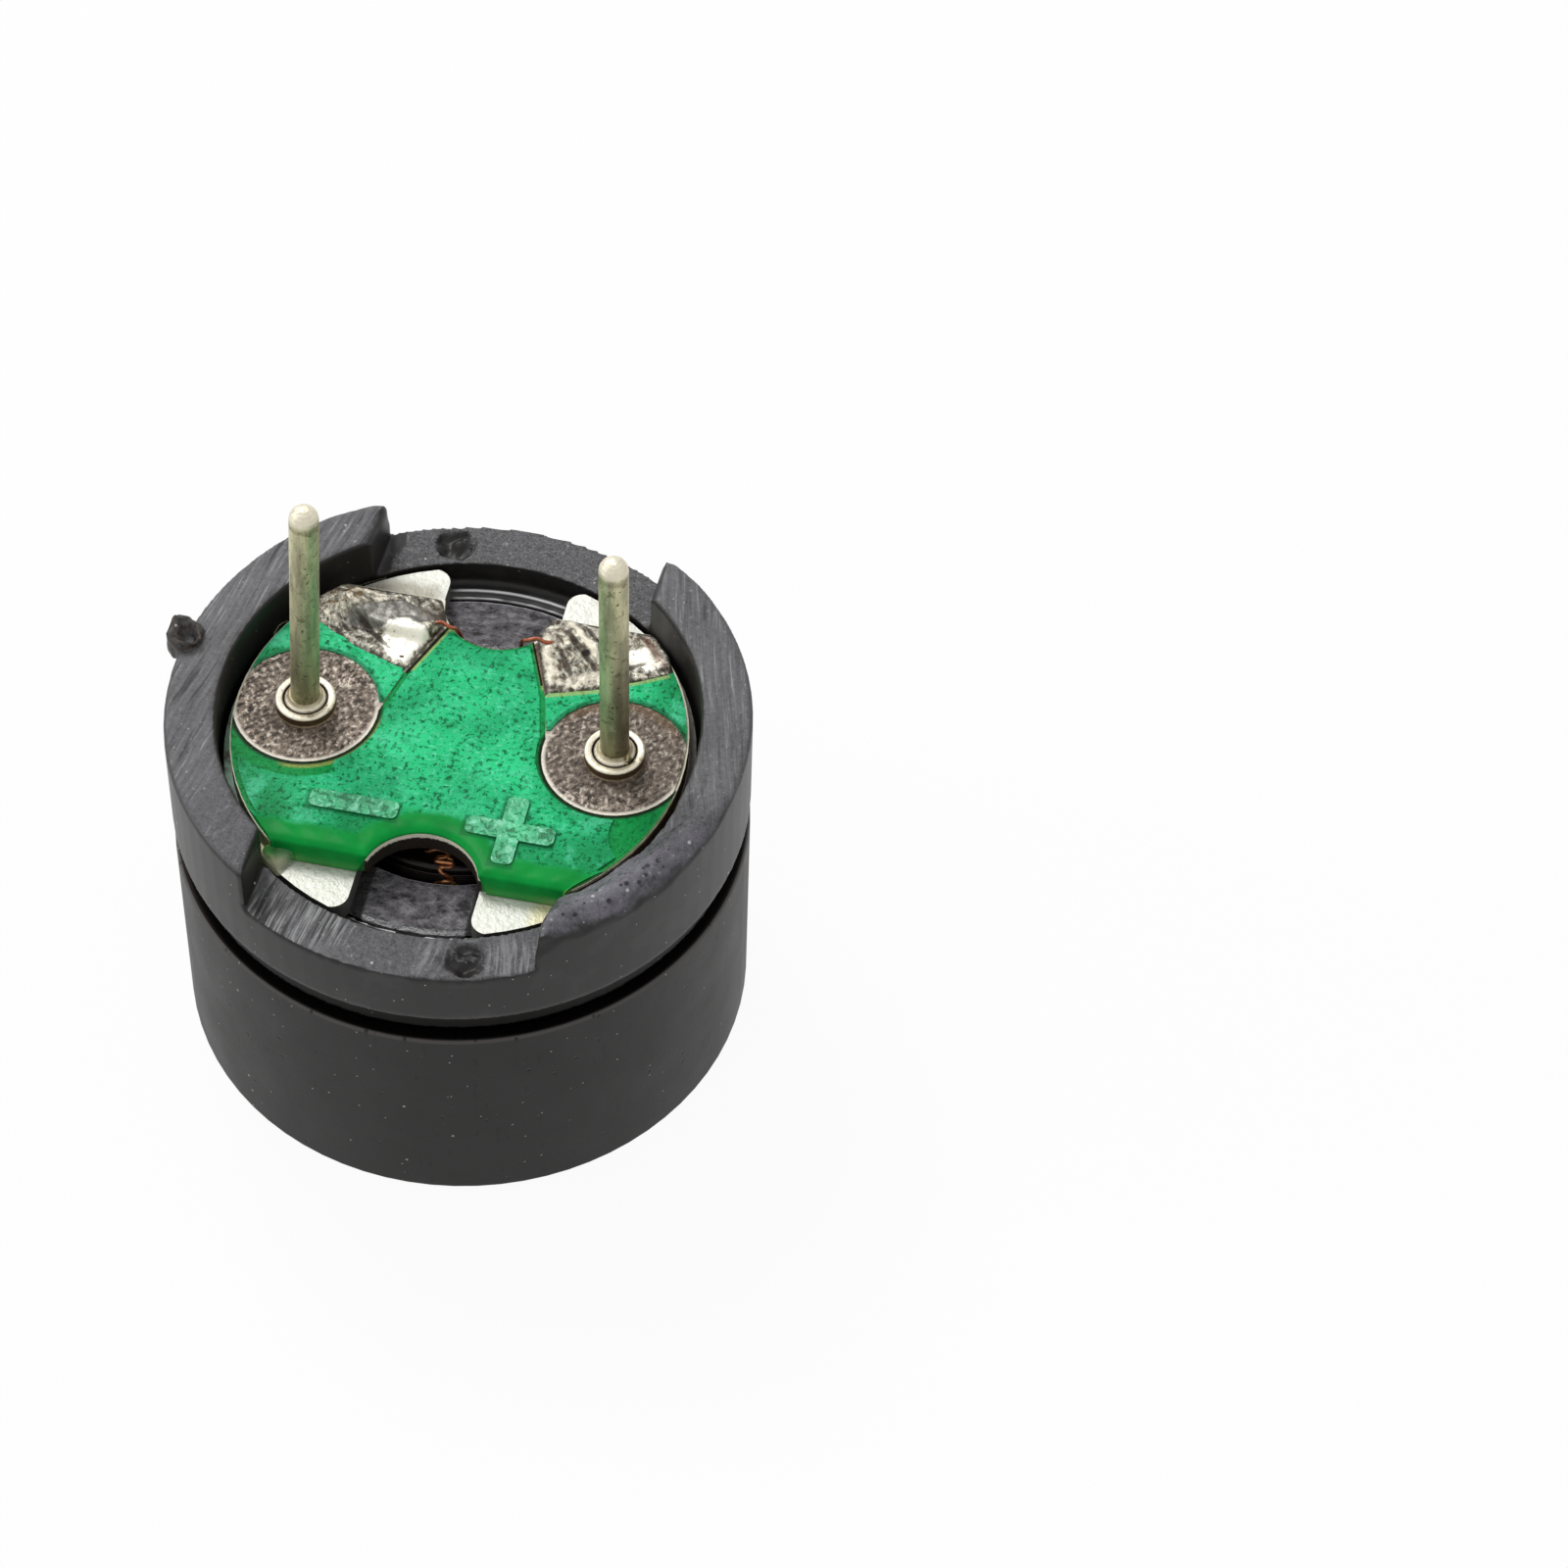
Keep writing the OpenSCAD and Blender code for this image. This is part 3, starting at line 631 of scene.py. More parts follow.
def solder(tint, flux):
    paint = Paint("solder")
    lump = paint.noise(3.2, 4.0, 0.6, warp=0.5)
    mottle = paint.noise(7.0, 4.0, 0.68, warp=0.3)
    drawn = paint.noise(
        1.0, 4.0, 0.65, paint.join((paint.x - paint.y) * 2.2, (paint.x + paint.y) * 7.0, paint.z * 4.0)
    )
    facet = paint.patch(-1.95, 2.6, 1.12, 0.33, 0.12, 0.3, 16.0)
    # painted highlight: bright marks the shiny patches, which are painted near white
    bright = paint.patch(-1.66, 1.97, 0.5, 0.5, 0.12, 0.5)
    bright = bright.high(paint.patch(3.3, 2.62, 0.5, 0.3, 0.2, 0.8, 20.0))
    calm = facet.high(bright)
    paint.base = paint.shade(mottle.rise(0.3, 0.7), tint, 0.35, 1.7)
    paint.coat(drawn.rise(0.5, 0.6) * 0.75, 226, 218, 200)
    paint.coat(mottle.rise(0.5, 0.4) * 0.8, flux)
    paint.coat(mottle.rise(0.58, 0.66) * 0.85, 244, 236, 214)
    paint.coat(drawn.rise(0.42, 0.36) * 0.85, 40, 30, 20)
    smooth = paint.shade(drawn.rise(0.3, 0.7), tone(104, 102, 96), 0.5, 1.7)
    smooth = paint.mix(mottle.rise(0.42, 0.34) * 0.7, smooth, tone(66, 56, 46))
    paint.coat(facet, smooth)
    paint.coat(bright, 246, 243, 228)
    paint.coat(bright * mottle.rise(0.4, 0.33) * 0.8, 120, 104, 76)
    for x, y, rx, ry, turn, share, light in (
        (2.1, 2.62, 0.75, 0.08, -47.0, 0.9, True),
        (1.95, 2.5, 0.7, 0.06, -47.0, 0.85, False),
        (2.35, 2.72, 0.6, 0.05, -40.0, 0.8, False),
        (1.32, 2.2, 0.7, 0.1, 105.0, 0.8, True),
        (2.3, 1.85, 0.75, 0.12, 22.0, 0.85, True),
        (1.75, 2.1, 0.4, 0.07, -60.0, 0.8, False),
        (2.95, 2.3, 0.5, 0.06, 28.0, 0.85, False),
        (-3.1, 2.95, 0.5, 0.06, -20.0, 0.8, False),
        (-2.6, 3.0, 0.5, 0.07, 12.0, 0.8, True),
        (-2.35, 2.1, 0.6, 0.06, -38.0, 0.9, False),
        (-1.15, 2.85, 0.35, 0.08, 20.0, 0.7, False),
    ):
        streak = paint.patch(x, y, rx, ry, 0.35, 0.9, turn)
        paint.coat(streak * share, *((238, 230, 212) if light else (46, 34, 24)))
    rusty = paint.patch(3.45, 2.86, 0.45, 0.1, 0.5, 0.8, -50.0)
    paint.coat(rusty * 0.8, 98, 52, 30)
    paint.coat(paint.patch(2.11, 2.36, 0.1, 0.07, 0.4), 26, 18, 12)
    paint.coat(paint.patch(-1.63, 1.61, 0.06, 0.04, 0.4), 60, 40, 24)
    tarry = paint.patch(-3.25, 2.95, 0.75, 0.42, 0.4, 0.8)
    tarry = tarry.high(paint.patch(-1.2, 2.9, 0.3, 0.3, 0.5))
    paint.coat(tarry * mottle.rise(0.6, 0.4) * 0.55, 116, 94, 52)
    rim = (paint.z + (mottle - 0.5) * 0.2).rise(BOARD_Z + 0.09, BOARD_Z + 0.03)
    paint.coat(rim * 0.8, 34, 26, 18)
    rough = (mottle + drawn * 0.7) * (1.0 - 0.85 * calm)
    return paint.finish(0.34 + 0.3 * lump - 0.1 * calm, 0.5, rough + lump * 0.4, 0.06)


def plated_steel(tint):
    paint = Paint("plated_steel", Metallic=0.4)
    cloud = paint.noise(1.6, 4.0)
    fine = paint.noise(8.0, 4.0, 0.6)
    paint.base = paint.shade(cloud, tint, 0.84, 1.06)
    paint.coat(fine.rise(0.58, 0.7) * 0.4, 186, 184, 166)
    paint.coat(paint.cells(2.2).rise(0.1, 0.05) * 0.5, 120, 116, 104)
    dull = paint.patch(-2.35, 3.7, 0.95, 0.38, 0.4, 0.8, 15.0)
    paint.coat(dull * 0.8, 142, 137, 120)
    margin = paint.r.rise(4.66, 4.73) * abs(paint.x).rise(3.4, 3.9)
    paint.coat(margin * 0.9, 50, 42, 32)
    moss = margin * paint.x.rise(-3.8, -4.1) * paint.y.rise(-2.3, -1.9) * cloud.rise(0.35, 0.5)
    paint.coat(moss * 0.9, 150, 184, 162)
    stained = paint.patch(2.75, -3.85, 0.35, 0.5, 0.6, 0.6)
    stained = stained.high(paint.patch(-3.2, -3.5, 0.4, 0.3, 0.6))
    paint.coat(stained * 0.6, 222, 212, 150)
    # painted shade: side lays near black on the side walls of the plate and pole
    side = paint.up.rise(0.8, 0.5)
    paint.coat(side * 0.85, 38, 37, 34)
    return paint.finish(0.38 + 0.25 * cloud, bump=fine + cloud, depth=0.03)


def sintered_magnet(tint):
    paint = Paint("sintered_magnet", Specular_IOR_Level=0.5)
    lump = paint.stretched(3.6, 5.4, 4.0, 4.0, 0.66)
    fine = paint.noise(11.0, 4.0, 0.7)
    paint.base = paint.shade(lump.rise(0.3, 0.7) * 0.6 + fine * 0.4, tint, 0.35, 3.2)
    paint.coat(lump.rise(0.44, 0.36) * 0.8, 24, 22, 23)
    paint.coat(lump.rise(0.54, 0.62) * 0.6, 146, 144, 146)
    paint.coat(fine.rise(0.6, 0.7) * 0.4, 150, 148, 150)
    edge = paint.z.rise(MAGNET_Z - 0.12, MAGNET_Z - 0.08) * paint.z.rise(MAGNET_Z, MAGNET_Z - 0.015)
    cracks = paint.noise(5.0, 3.0, 0.6, warp=1.6).near(0.5, 0.035)
    paint.coat(cracks * lump.rise(0.6, 0.45) * 0.7, 20, 18, 19)
    outer = abs(paint.y).rise(0.5, 1.0) * paint.r.near(BORE_R - 0.56, 0.06)
    glint = edge.high(outer) * fine.rise(0.3, 0.45)
    paint.coat(glint * 0.9, 206, 206, 208)
    # painted shade: near-black bands on the magnet along both sides of the plate's front notch
    notch_side_shade = abs(paint.x - 0.05).rise(1.02, 1.1) * paint.y.rise(-2.6, -3.0)
    paint.coat(notch_side_shade * 0.94, 10, 9, 9)
    return paint.finish(0.5 + 0.2 * fine, bump=lump * 1.6 + fine * 0.4, depth=0.12)


def enamelled_wire(name, tint, dark=0.5, light=1.5, gloss=0.4):
    paint = Paint(name, Metallic=0.6, Coat_Weight=gloss, Coat_Roughness=0.12)
    stain = paint.noise(4.0, 3.0)
    paint.base = paint.shade(stain.rise(0.25, 0.75), tint, dark, light)
    return paint.finish(0.25 + 0.2 * stain, bump=paint.noise(16.0), depth=0.006)


def rolled_steel():
    paint = Paint("rolled_steel", Metallic=1.0)
    roll = paint.stretched(0.6, 14.0)
    paint.base = paint.mix(roll, tone(120, 120, 122), tone(178, 178, 180))
    return paint.finish(0.3 + 0.2 * roll, bump=roll, depth=0.004)


def clear_glue(tint):
    paint = Paint("clear_glue", IOR=1.46, Coat_Weight=0.3)
    cloud = paint.noise(2.4, 4.0)
    paint.base = paint.shade(cloud, tint, 0.7, 1.25)
    run = paint.y.rise(-3.0, -3.3)
    green = (paint.y + (cloud - 0.5) * 0.3).rise(-3.86, -3.62)
    stained = paint.mix(green, tone(158, 162, 128), tone(44, 128, 50))
    paint.coat(run, stained)
    thick = paint.z.rise(PLATE_Z + 0.02, PLATE_Z + 0.2, 0.1, 0.55)
    thick = thick + run * paint.x.rise(-2.56, -2.74, 0.0, 0.3)
    return paint.finish(0.2 + 0.25 * cloud, bump=cloud, depth=0.04, Alpha=thick.clamp())


# ---- meshes ----


def dress(node, material):
    """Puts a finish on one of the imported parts."""
    for slot in PARTS[node].material_slots:
        slot.link = "OBJECT"
        slot.material = material


def new_piece(name, points, faces, material, slot, *replaced):
    """Makes a mesh piece from millimetres and hangs it on the part."""
    mesh = bpy.data.meshes.new(name)
    mesh.from_pydata([tuple(c * MM for c in p) for p in points], [], faces)
    mesh.validate()
    mesh.update()
    mesh.polygons.foreach_set("use_smooth", [True] * len(mesh.polygons))
    mesh.materials.append(material)
    piece = bpy.data.objects.new(name, mesh)
    bpy.context.scene.collection.objects.link(piece)
    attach(piece, "root")
    if replaced:
        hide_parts(*replaced)
    return piece


def ring_faces(rows, sides, closed=True):
    """Quads between rows of points, each row with that many points round."""
    faces = []
    for i in range(rows - 1):
        for j in range(sides if closed else sides - 1):
            k = (j + 1) % sides
            faces.append((i * sides + j, i * sides + k, (i + 1) * sides + k, (i + 1) * sides + j))
    return faces


def smooth_path(points, cuts):
    """Points on a smooth curve through the given ones."""
    ends = [points[0] * 2 - points[1], *points, points[-1] * 2 - points[-2]]
    path = []
    for a, b, c, d in zip(ends, ends[1:], ends[2:], ends[3:]):
        for i in range(cuts):
            t = i / cuts
            path.append(
                0.5
                * (
                    2 * b
                    + (c - a) * t
                    + (2 * a - 5 * b + 4 * c - d) * t * t
                    + (3 * b - a - 3 * c + d) * t**3
                )
            )
    return [*path, points[-1]]


def tube(path, radius, sides=8):
    """Points and faces of a round wire along a path; radius may be a function of 0 to 1."""
    width = radius if callable(radius) else lambda t: radius
    points, normal = [], None
    for i, p in enumerate(path):
        way = (path[min(i + 1, len(path) - 1)] - path[max(i - 1, 0)]).normalized()
        if normal is None:
            normal = way.orthogonal().normalized()
        normal = (normal - way * normal.dot(way)).normalized()
        across = way.cross(normal)
        r = width(i / (len(path) - 1))
        for j in range(sides):
            a = TURN * j / sides
            points.append(p + (normal * math.cos(a) + across * math.sin(a)) * r)
    faces = ring_faces(len(path), sides)
    faces.append(tuple(reversed(range(sides))))
    faces.append(tuple(range(len(points) - sides, len(points))))
    return points, faces


def lump(outline, centre, base_z, height, rings=30, sides=120):
    """A closed lump on a flat base: outline corners, and height as a function of x, y and rim."""
    corners = [Vector(p) for p in outline]
    centre = Vector(centre)
    edge = []
    for j in range(sides):
        way = Vector((math.cos(TURN * j / sides), math.sin(TURN * j / sides)))
        best = 0.0
        for a, b in zip(corners, corners[1:] + corners[:1]):
            side = b - a
            cross = way.x * side.y - way.y * side.x
            if abs(cross) < 1e-9:
                continue
            gap = a - centre
            t = (gap.x * side.y - gap.y * side.x) / cross
            s = (gap.x * way.y - gap.y * way.x) / cross
            if t > 0 and -1e-6 <= s <= 1 + 1e-6:
                best = max(best, t)
        edge.append(best)
    edge = [(edge[j - 1] + 2 * edge[j] + edge[(j + 1) % sides]) / 4 for j in range(sides)]
    points = []
    for i in range(rings, 0, -1):
        share = i / rings
        for j in range(sides):
            a = TURN * j / sides
            x = centre.x + math.cos(a) * edge[j] * share
            y = centre.y + math.sin(a) * edge[j] * share
            rise = 0.0 if i == rings else height(x, y, (1 - share) * edge[j])
            points.append((x, y, base_z + rise))
    faces = ring_faces(rings, sides)
    top = len(points)
    points.append((centre.x, centre.y, base_z + height(centre.x, centre.y, 1.0)))
    faces += [
        (top - sides + j, top - sides + (j + 1) % sides, top) for j in range(sides)
    ]
    under = len(points)
    points += [(x, y, base_z - 0.01) for x, y, _ in points[:sides]]
    faces += [(under + j, under + (j + 1) % sides, (j + 1) % sides, j) for j in range(sides)]
    faces.append(tuple(under + j for j in reversed(range(sides))))
    return points, faces


def bulge(x, y, cx, cy, rx, ry, turn=0.0):
    """Height from 0 to 1 of a round-topped oval."""
    c, s = math.cos(math.radians(turn)), math.sin(math.radians(turn))
    u = ((x - cx) * c + (y - cy) * s) / rx
    v = ((y - cy) * c - (x - cx) * s) / ry
    return max(0.0, 1 - u * u - v * v)


def rumple(x, y, scale, seed):
    """Smooth random height between about -1 and 1."""
    return noise.noise(Vector((x * scale, y * scale, seed)))


# ---- operators ----


class PieceOperator:
    bl_options = {"REGISTER", "UNDO"}


class BUZZER_OT_stage(PieceOperator, bpy.types.Operator):
    """Camera, pale floor, world and soft lamps"""

    bl_idname = "buzzer.stage"
    bl_label = "Stage"

    elevation = math.radians(51.37)
    bank = math.radians(2.13)
    swing = math.radians(-9.758)
    distance = 103.572
    aim = (0.0, 0.0, 4.0)
    aim_pixel = (474.457, 862.325)
    centre_pixel = (800.0, 800.0)
    focal_pixels = 5000.0
    image_pixels = 1600.0
    sensor = 36.0

    def turned(self, v):
        c, s = math.cos(self.swing), math.sin(self.swing)
        return Vector((v.x * c + v.y * s, v.y * c - v.x * s, v.z))

    def camera(self):
        ce, se = math.cos(self.elevation), math.sin(self.elevation)
        forward, right, up = Vector((0, ce, -se)), Vector((1, 0, 0)), Vector((0, se, ce))
        cb, sb = math.cos(self.bank), math.sin(self.bank)
        right, up = right * cb + up * sb, up * cb - right * sb
        u = (self.aim_pixel[0] - self.centre_pixel[0]) / self.focal_pixels
        v = (self.aim_pixel[1] - self.centre_pixel[1]) / self.focal_pixels
        ray = (right * u - up * v + forward).normalized()
        eye = self.turned(Vector(self.aim) - ray * self.distance)
        axes = [self.turned(a) for a in (right, up, -forward)]
        data = bpy.data.cameras.new("camera")
        data.sensor_width = self.sensor
        data.lens = self.focal_pixels / self.image_pixels * self.sensor
        data.clip_start, data.clip_end = 0.001, 10.0
        camera = bpy.data.objects.new("camera", data)
        camera.matrix_world = Matrix.Translation(eye * MM) @ Matrix(axes).transposed().to_4x4()
        bpy.context.scene.collection.objects.link(camera)
        bpy.context.scene.camera = camera

    def seen_white(self, paint, light, plain, output):
        """Mixes white into what the camera, mirrors and glass see."""
        rays = paint.node("ShaderNodeLightPath", {}, {}, "Is Camera Ray")
        outs = rays.socket.node.outputs
        seen = (
            rays + Value(paint, outs["Is Glossy Ray"]) + Value(paint, outs["Is Transmission Ray"])
        ).clamp()
        both = paint.node("ShaderNodeMixShader", {}, {0: seen * light, 1: plain[0], 2: plain[1]})
        paint.tree.links.new(both.socket, output.inputs["Surface"])

    def floor(self):
        paint = Paint("floor")
        output = paint.tree.nodes["Material Output"]
        matte = paint.node("ShaderNodeBsdfDiffuse", {}, {0: (0.82, 0.82, 0.82, 1.0)})
        white = paint.node("ShaderNodeEmission", {}, {0: (1.0, 1.0, 1.0, 1.0), 1: 1.0})
        self.seen_white(paint, 0.94, (matte, white), output)
        sides, reach = 96, 700.0
        rim = [(math.cos(TURN * i / sides), math.sin(TURN * i / sides)) for i in range(sides)]
        mesh = bpy.data.meshes.new("floor")
        points = [(x * reach * MM, y * reach * MM, 0.0) for x, y in rim]
        mesh.from_pydata(points, [], [tuple(range(sides))])
        mesh.materials.append(paint.material)
        floor = bpy.data.objects.new("floor", mesh)
        bpy.context.scene.collection.objects.link(floor)

    def world(self):
        world = bpy.data.worlds.new("studio")
        world.use_nodes = True
        bpy.context.scene.world = world
        paint = Nodes(world.node_tree)
        output = paint.tree.nodes["World Output"]
        dim = paint.node("ShaderNodeBackground", {}, {0: (1.0, 1.0, 1.0, 1.0), 1: 0.55})
        white = paint.node("ShaderNodeBackground", {}, {0: (1.0, 1.0, 1.0, 1.0), 1: 1.0})
        self.seen_white(paint, 1.0, (dim, white), output)

    def lamp(self, name, place, size, power):
        data = bpy.data.lights.new(name, "AREA")
        data.shape, data.size, data.energy = "DISK", size * MM, power
        lamp = bpy.data.objects.new(name, data)
        lamp.location = Vector(place) * MM
        lamp.rotation_mode = "QUATERNION"
        lamp.rotation_quaternion = (Vector(self.aim) * MM - lamp.location).to_track_quat("-Z", "Y")
        bpy.context.scene.collection.objects.link(lamp)

    def execute(self, context):
        self.camera()
        self.floor()
        self.world()
        self.lamp("key_lamp", (-110.0, 130.0, 230.0), 120.0, 0.42)
        self.lamp("side_lamp", (-220.0, -40.0, 90.0), 110.0, 0.12)
        view = context.scene.view_settings
        view.view_transform = "Standard"
        return {"FINISHED"}


class BUZZER_OT_case(PieceOperator, bpy.types.Operator):
    """Cup, and the ring with its worn edges, torn gate stub and rough dimples"""

    bl_idname = "buzzer.case"
    bl_label = "Case and ring"

    voxel = 0.068
    slot_turn = math.radians(-2.2)
    slot_half = 3.0
    worn_from, worn_to = math.radians(-98), math.radians(-8)
    sunk_from, sunk_to = math.radians(-78), math.radians(8)

    def worn(self, angle):
        """How far the rim's outer edge is worn round, from 0 to 1."""
        share = (angle - self.worn_from) / (self.worn_to - self.worn_from)
        return math.sin(math.pi * share) ** 0.7 if 0 < share < 1 else 0.0

    def rounded(self, p):
        """Rounds the rims' edges and corners."""
        r, angle = math.hypot(p.x, p.y), math.atan2(p.y, p.x)
        c, s = math.cos(self.slot_turn), math.sin(self.slot_turn)
        across = p.x * c + p.y * s
        end = abs(across) - self.slot_half
        if p.z < SLOT_Z + 0.03 or end < -0.03:
            return p
        near_end = math.exp(-max(0.0, end - 0.2) / 0.4)
        worn = self.worn(angle)
        nick = (0.05 + 0.07 * worn) * noise.noise(p * 2.3) + 0.03 * noise.noise(p * 6.0)
        broken = 0.2 if p.y > 0 else 0.04
        radius = 0.1 + 0.42 * worn * (1 - 0.3 * near_end) + broken * near_end + nick
        depth = min(1.0, max(0.0, (p.z - SLOT_Z - 0.2) / 0.6))
        radius = 0.06 + max(0.0, radius - 0.06) * depth * depth * (3 - 2 * depth)
        gaps = (
            max(0.0, radius - end),
            max(0.0, radius - (CASE_R - r)),
            max(0.0, radius - (RIM_Z - p.z)),
        )
        far = math.sqrt(sum(g * g for g in gaps))
        if far <= radius or sum(g > 0 for g in gaps) < 2:
            return p
        push = (far - radius) / far
        out = math.copysign(gaps[0] * push, across)
        inward = gaps[1] * push / r
        return Vector(
            (
                p.x + out * c - p.x * inward,
                p.y + out * s - p.y * inward,
                p.z - gaps[2] * push,
            )
        )

    def sunk(self, p):
        """Wears the right-hand rim down towards the bore."""
        r, angle = math.hypot(p.x, p.y), math.atan2(p.y, p.x)
        share = (angle - self.sunk_from) / (self.sunk_to - self.sunk_from)
        if p.z < SLOT_Z or not 0 < share < 1:
            return p
        along = min(1.0, 5 * share, 3 * (1 - share))
        t = min(1.0, max(0.0, (r - BORE_R) / 0.6))
        wave = 1 + 0.35 * noise.noise(p * 1.7) + 0.1 * noise.noise(p * 5.0)
        drop = 0.4 * wave * along * along * (3 - 2 * along) * (1 - t * t * (3 - 2 * t))
        return p - Vector((0.0, 0.0, drop * (p.z - SLOT_Z) / (RIM_Z - SLOT_Z)))

    def torn(self, p, offset):
        """Makes the gate stub ragged, with a crater in its top."""
        rough = noise.fractal(p * 3.0, 1.0, 2.0, 4)
        crater = max(0.0, 1 - ((offset - Vector((0.08, -0.04))).length / 0.24) ** 2)
        above = max(0.0, p.z - RIM_Z) / 0.24
        spread = Vector(GATE) + offset * (1 + 0.16 * rough + 0.06 * above)
        spread *= min(1.0, (CASE_R + 0.3) / spread.length)
        lift = above * (0.1 * rough - 0.3 * crater * above - 0.12 * offset.x)
        return Vector((*spread, p.z + lift))

    def dented(self, p):
        """Breaks up the floors of the two dimples."""
        for centre in DIMPLES:
            gap = p.xy - Vector(centre)
            if gap.length < 0.6 and SLOT_Z - 0.2 < p.z < SLOT_Z + 0.05:
                rough = noise.fractal(p * 3.0, 0.8, 2.1, 4)
                nub = 0.14 * max(0.0, 1 - ((gap - Vector((0.08, 0.06))).length / 0.16) ** 2)
                fade = min(1.0, 2.0 * (1 - gap.length / 0.6))
                return p + Vector((0.05 * rough, 0.0, (nub + 0.14 * rough - 0.03) * fade))
        return p

    def shaped(self, p):
        """Where a point of the plain ring lies on the worn one."""
        offset = p.xy - Vector(GATE)
        proud = p.z > RIM_Z + 0.01 or p.xy.length > CASE_R + 0.01
        if offset.length < GATE_R and p.z > GATE_FOOT and proud:
            return self.torn(p, offset)
        return self.dented(self.sunk(self.rounded(p)))

    def ring(self, material):
        """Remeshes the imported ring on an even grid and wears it, point by point."""
        source = PARTS["base_ring"]
        mesh = source.data.copy()
        mesh.transform(Matrix.Scale(1 / MM, 4))
        model = bpy.data.objects.new("ring_model", mesh)
        bpy.context.scene.collection.objects.link(model)
        remesh = model.modifiers.new("voxels", "REMESH")
        remesh.mode, remesh.voxel_size = "VOXEL", self.voxel
        fine = model.evaluated_get(bpy.context.evaluated_depsgraph_get()).to_mesh()
        points = [self.shaped(v.co.copy()) for v in fine.vertices]
        faces = [tuple(p.vertices) for p in fine.polygons]
        bpy.data.objects.remove(model)
        new_piece("ring_moulding", points, faces, material, "ring_plastic", "base_ring")

    def execute(self, context):
        colours, sizes = context.scene.buzzer_colours, context.scene.buzzer_sizes
        dress("sound_case", case_plastic(colours.plastic))
        self.ring(ring_plastic(colours.plastic, colours.sanded, sizes.streak_depth))
        return {"FINISHED"}


class BUZZER_OT_board(PieceOperator, bpy.types.Operator):
    """Laminate, foils, lacquer and polarity marks"""

    bl_idname = "buzzer.board"
    bl_label = "Circuit board"

    run_w = 0.62
    hang = 0.035

    def run_section(self, edge, inner, over, seed):
        """Points round the lacquer run at one place; over is 1 where it hangs over the edge."""
        edge, inner = Vector(edge), Vector(inner)
        inward = inner - edge
        wobble = 1 + 0.5 * noise.noise(Vector((seed * 2.0, 0.0, 4.0)))
        section = []
        for i in range(14, 0, -1):
            t = i / 14
            d = t * self.run_w
            swell = 0.028 * wobble * math.sin(math.pi * t)
            drop = 0.045 * max(0.0, 1 - d / 0.16) ** 2
            flat = edge + inward * t
            section.append((*flat, COAT_Z - 0.002 + swell - drop))
        out = inward.normalized() * -(self.hang * over)
        top = section[-1][2] - 0.02
        low = top - 0.03 + (PLATE_Z + 0.02 - top + 0.03) * over
        for i in range(7):
            k = i / 6
            bend = math.sin(0.5 * math.pi * min(1.0, k * 3))
            flare = 0.05 * over * max(0.0, k - 0.75) * 4
            flat = edge + out * (0.3 + 0.7 * bend + flare / self.hang)
            section.append((*flat, top + (low - top) * k))
        back = edge + inward.normalized() * 0.05
        section.append((*back, low))
        section.append((*back, top - 0.04))
        section.append((*inner, COAT_Z - 0.05))
        return section

    def lacquer_run(self, material):
        """Run of lacquer along the board's front edge, hanging over its straight parts."""
        board_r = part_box("board_laminate")[1].x / MM
        inner_y = FRONT_CHORD + self.run_w
        ends = [math.sqrt(board_r**2 - y * y) - 0.03 for y in (FRONT_CHORD, inner_y)]
        radii = (CUT_R, CUT_R + self.run_w)
        corners = [math.acos((y - FRONT_CUT[1]) / r) for y, r in zip((FRONT_CHORD, inner_y), radii)]
        halves = [r * math.sin(a) for r, a in zip(radii, corners)]
        columns = []
        for side in (-1, 1):
            straight = []
            for i in range(41):
                t = i / 40
                xs = [side * end + (FRONT_CUT[0] + side * half - side * end) * t
                      for end, half in zip(ends, halves)]
                over = min(1.0, (1 - t) * 8)
                straight.append(((xs[0], FRONT_CHORD), (xs[1], inner_y), over))
            columns.append(straight)
        arch = []
        for i in range(1, 60):
            turn = 1 - 2 * i / 60
            rows = [
                (FRONT_CUT[0] - r * math.sin(a * turn), FRONT_CUT[1] + r * math.cos(a * turn))
                for r, a in zip(radii, corners)
            ]
            arch.append((*rows, 0.0))
        columns = [*columns[0], *arch, *reversed(columns[1])]
        sections = [self.run_section(*column, i * 0.07) for i, column in enumerate(columns)]
        sides = len(sections[0])
        faces = ring_faces(len(sections), sides)
        faces.append(tuple(range(sides)))
        last = (len(sections) - 1) * sides
        faces.append(tuple(last + j for j in reversed(range(sides))))
        points = [point for section in sections for point in section]
        new_piece("lacquer_run", points, faces, material, "green_lacquer")

    def execute(self, context):
        colours = context.scene.buzzer_colours
        dress("board_laminate", laminate_edge(colours.laminate))
        foil = tinned_foil(colours.pad)
        dress("foil_minus", foil)
        dress("foil_plus", foil)
        dress("foil_field", copper_foil())
        lacquer = green_lacquer(colours.lacquer, colours.deep_lacquer)
        dress("solder_mask", lacquer)
        self.lacquer_run(lacquer)
        ink = legend_ink(colours.ink)
        dress("legend_minus", ink)
        dress("legend_plus", ink)
        return {"FINISHED"}


class BUZZER_OT_pins(PieceOperator, bpy.types.Operator):
    """Finish of the two pins"""

    bl_idname = "buzzer.pins"
    bl_label = "Pins"

    def execute(self, context):
        metal = pin_metal(context.scene.buzzer_colours.pin)
        dress("pin_minus", metal)
        dress("pin_plus", metal)
        return {"FINISHED"}


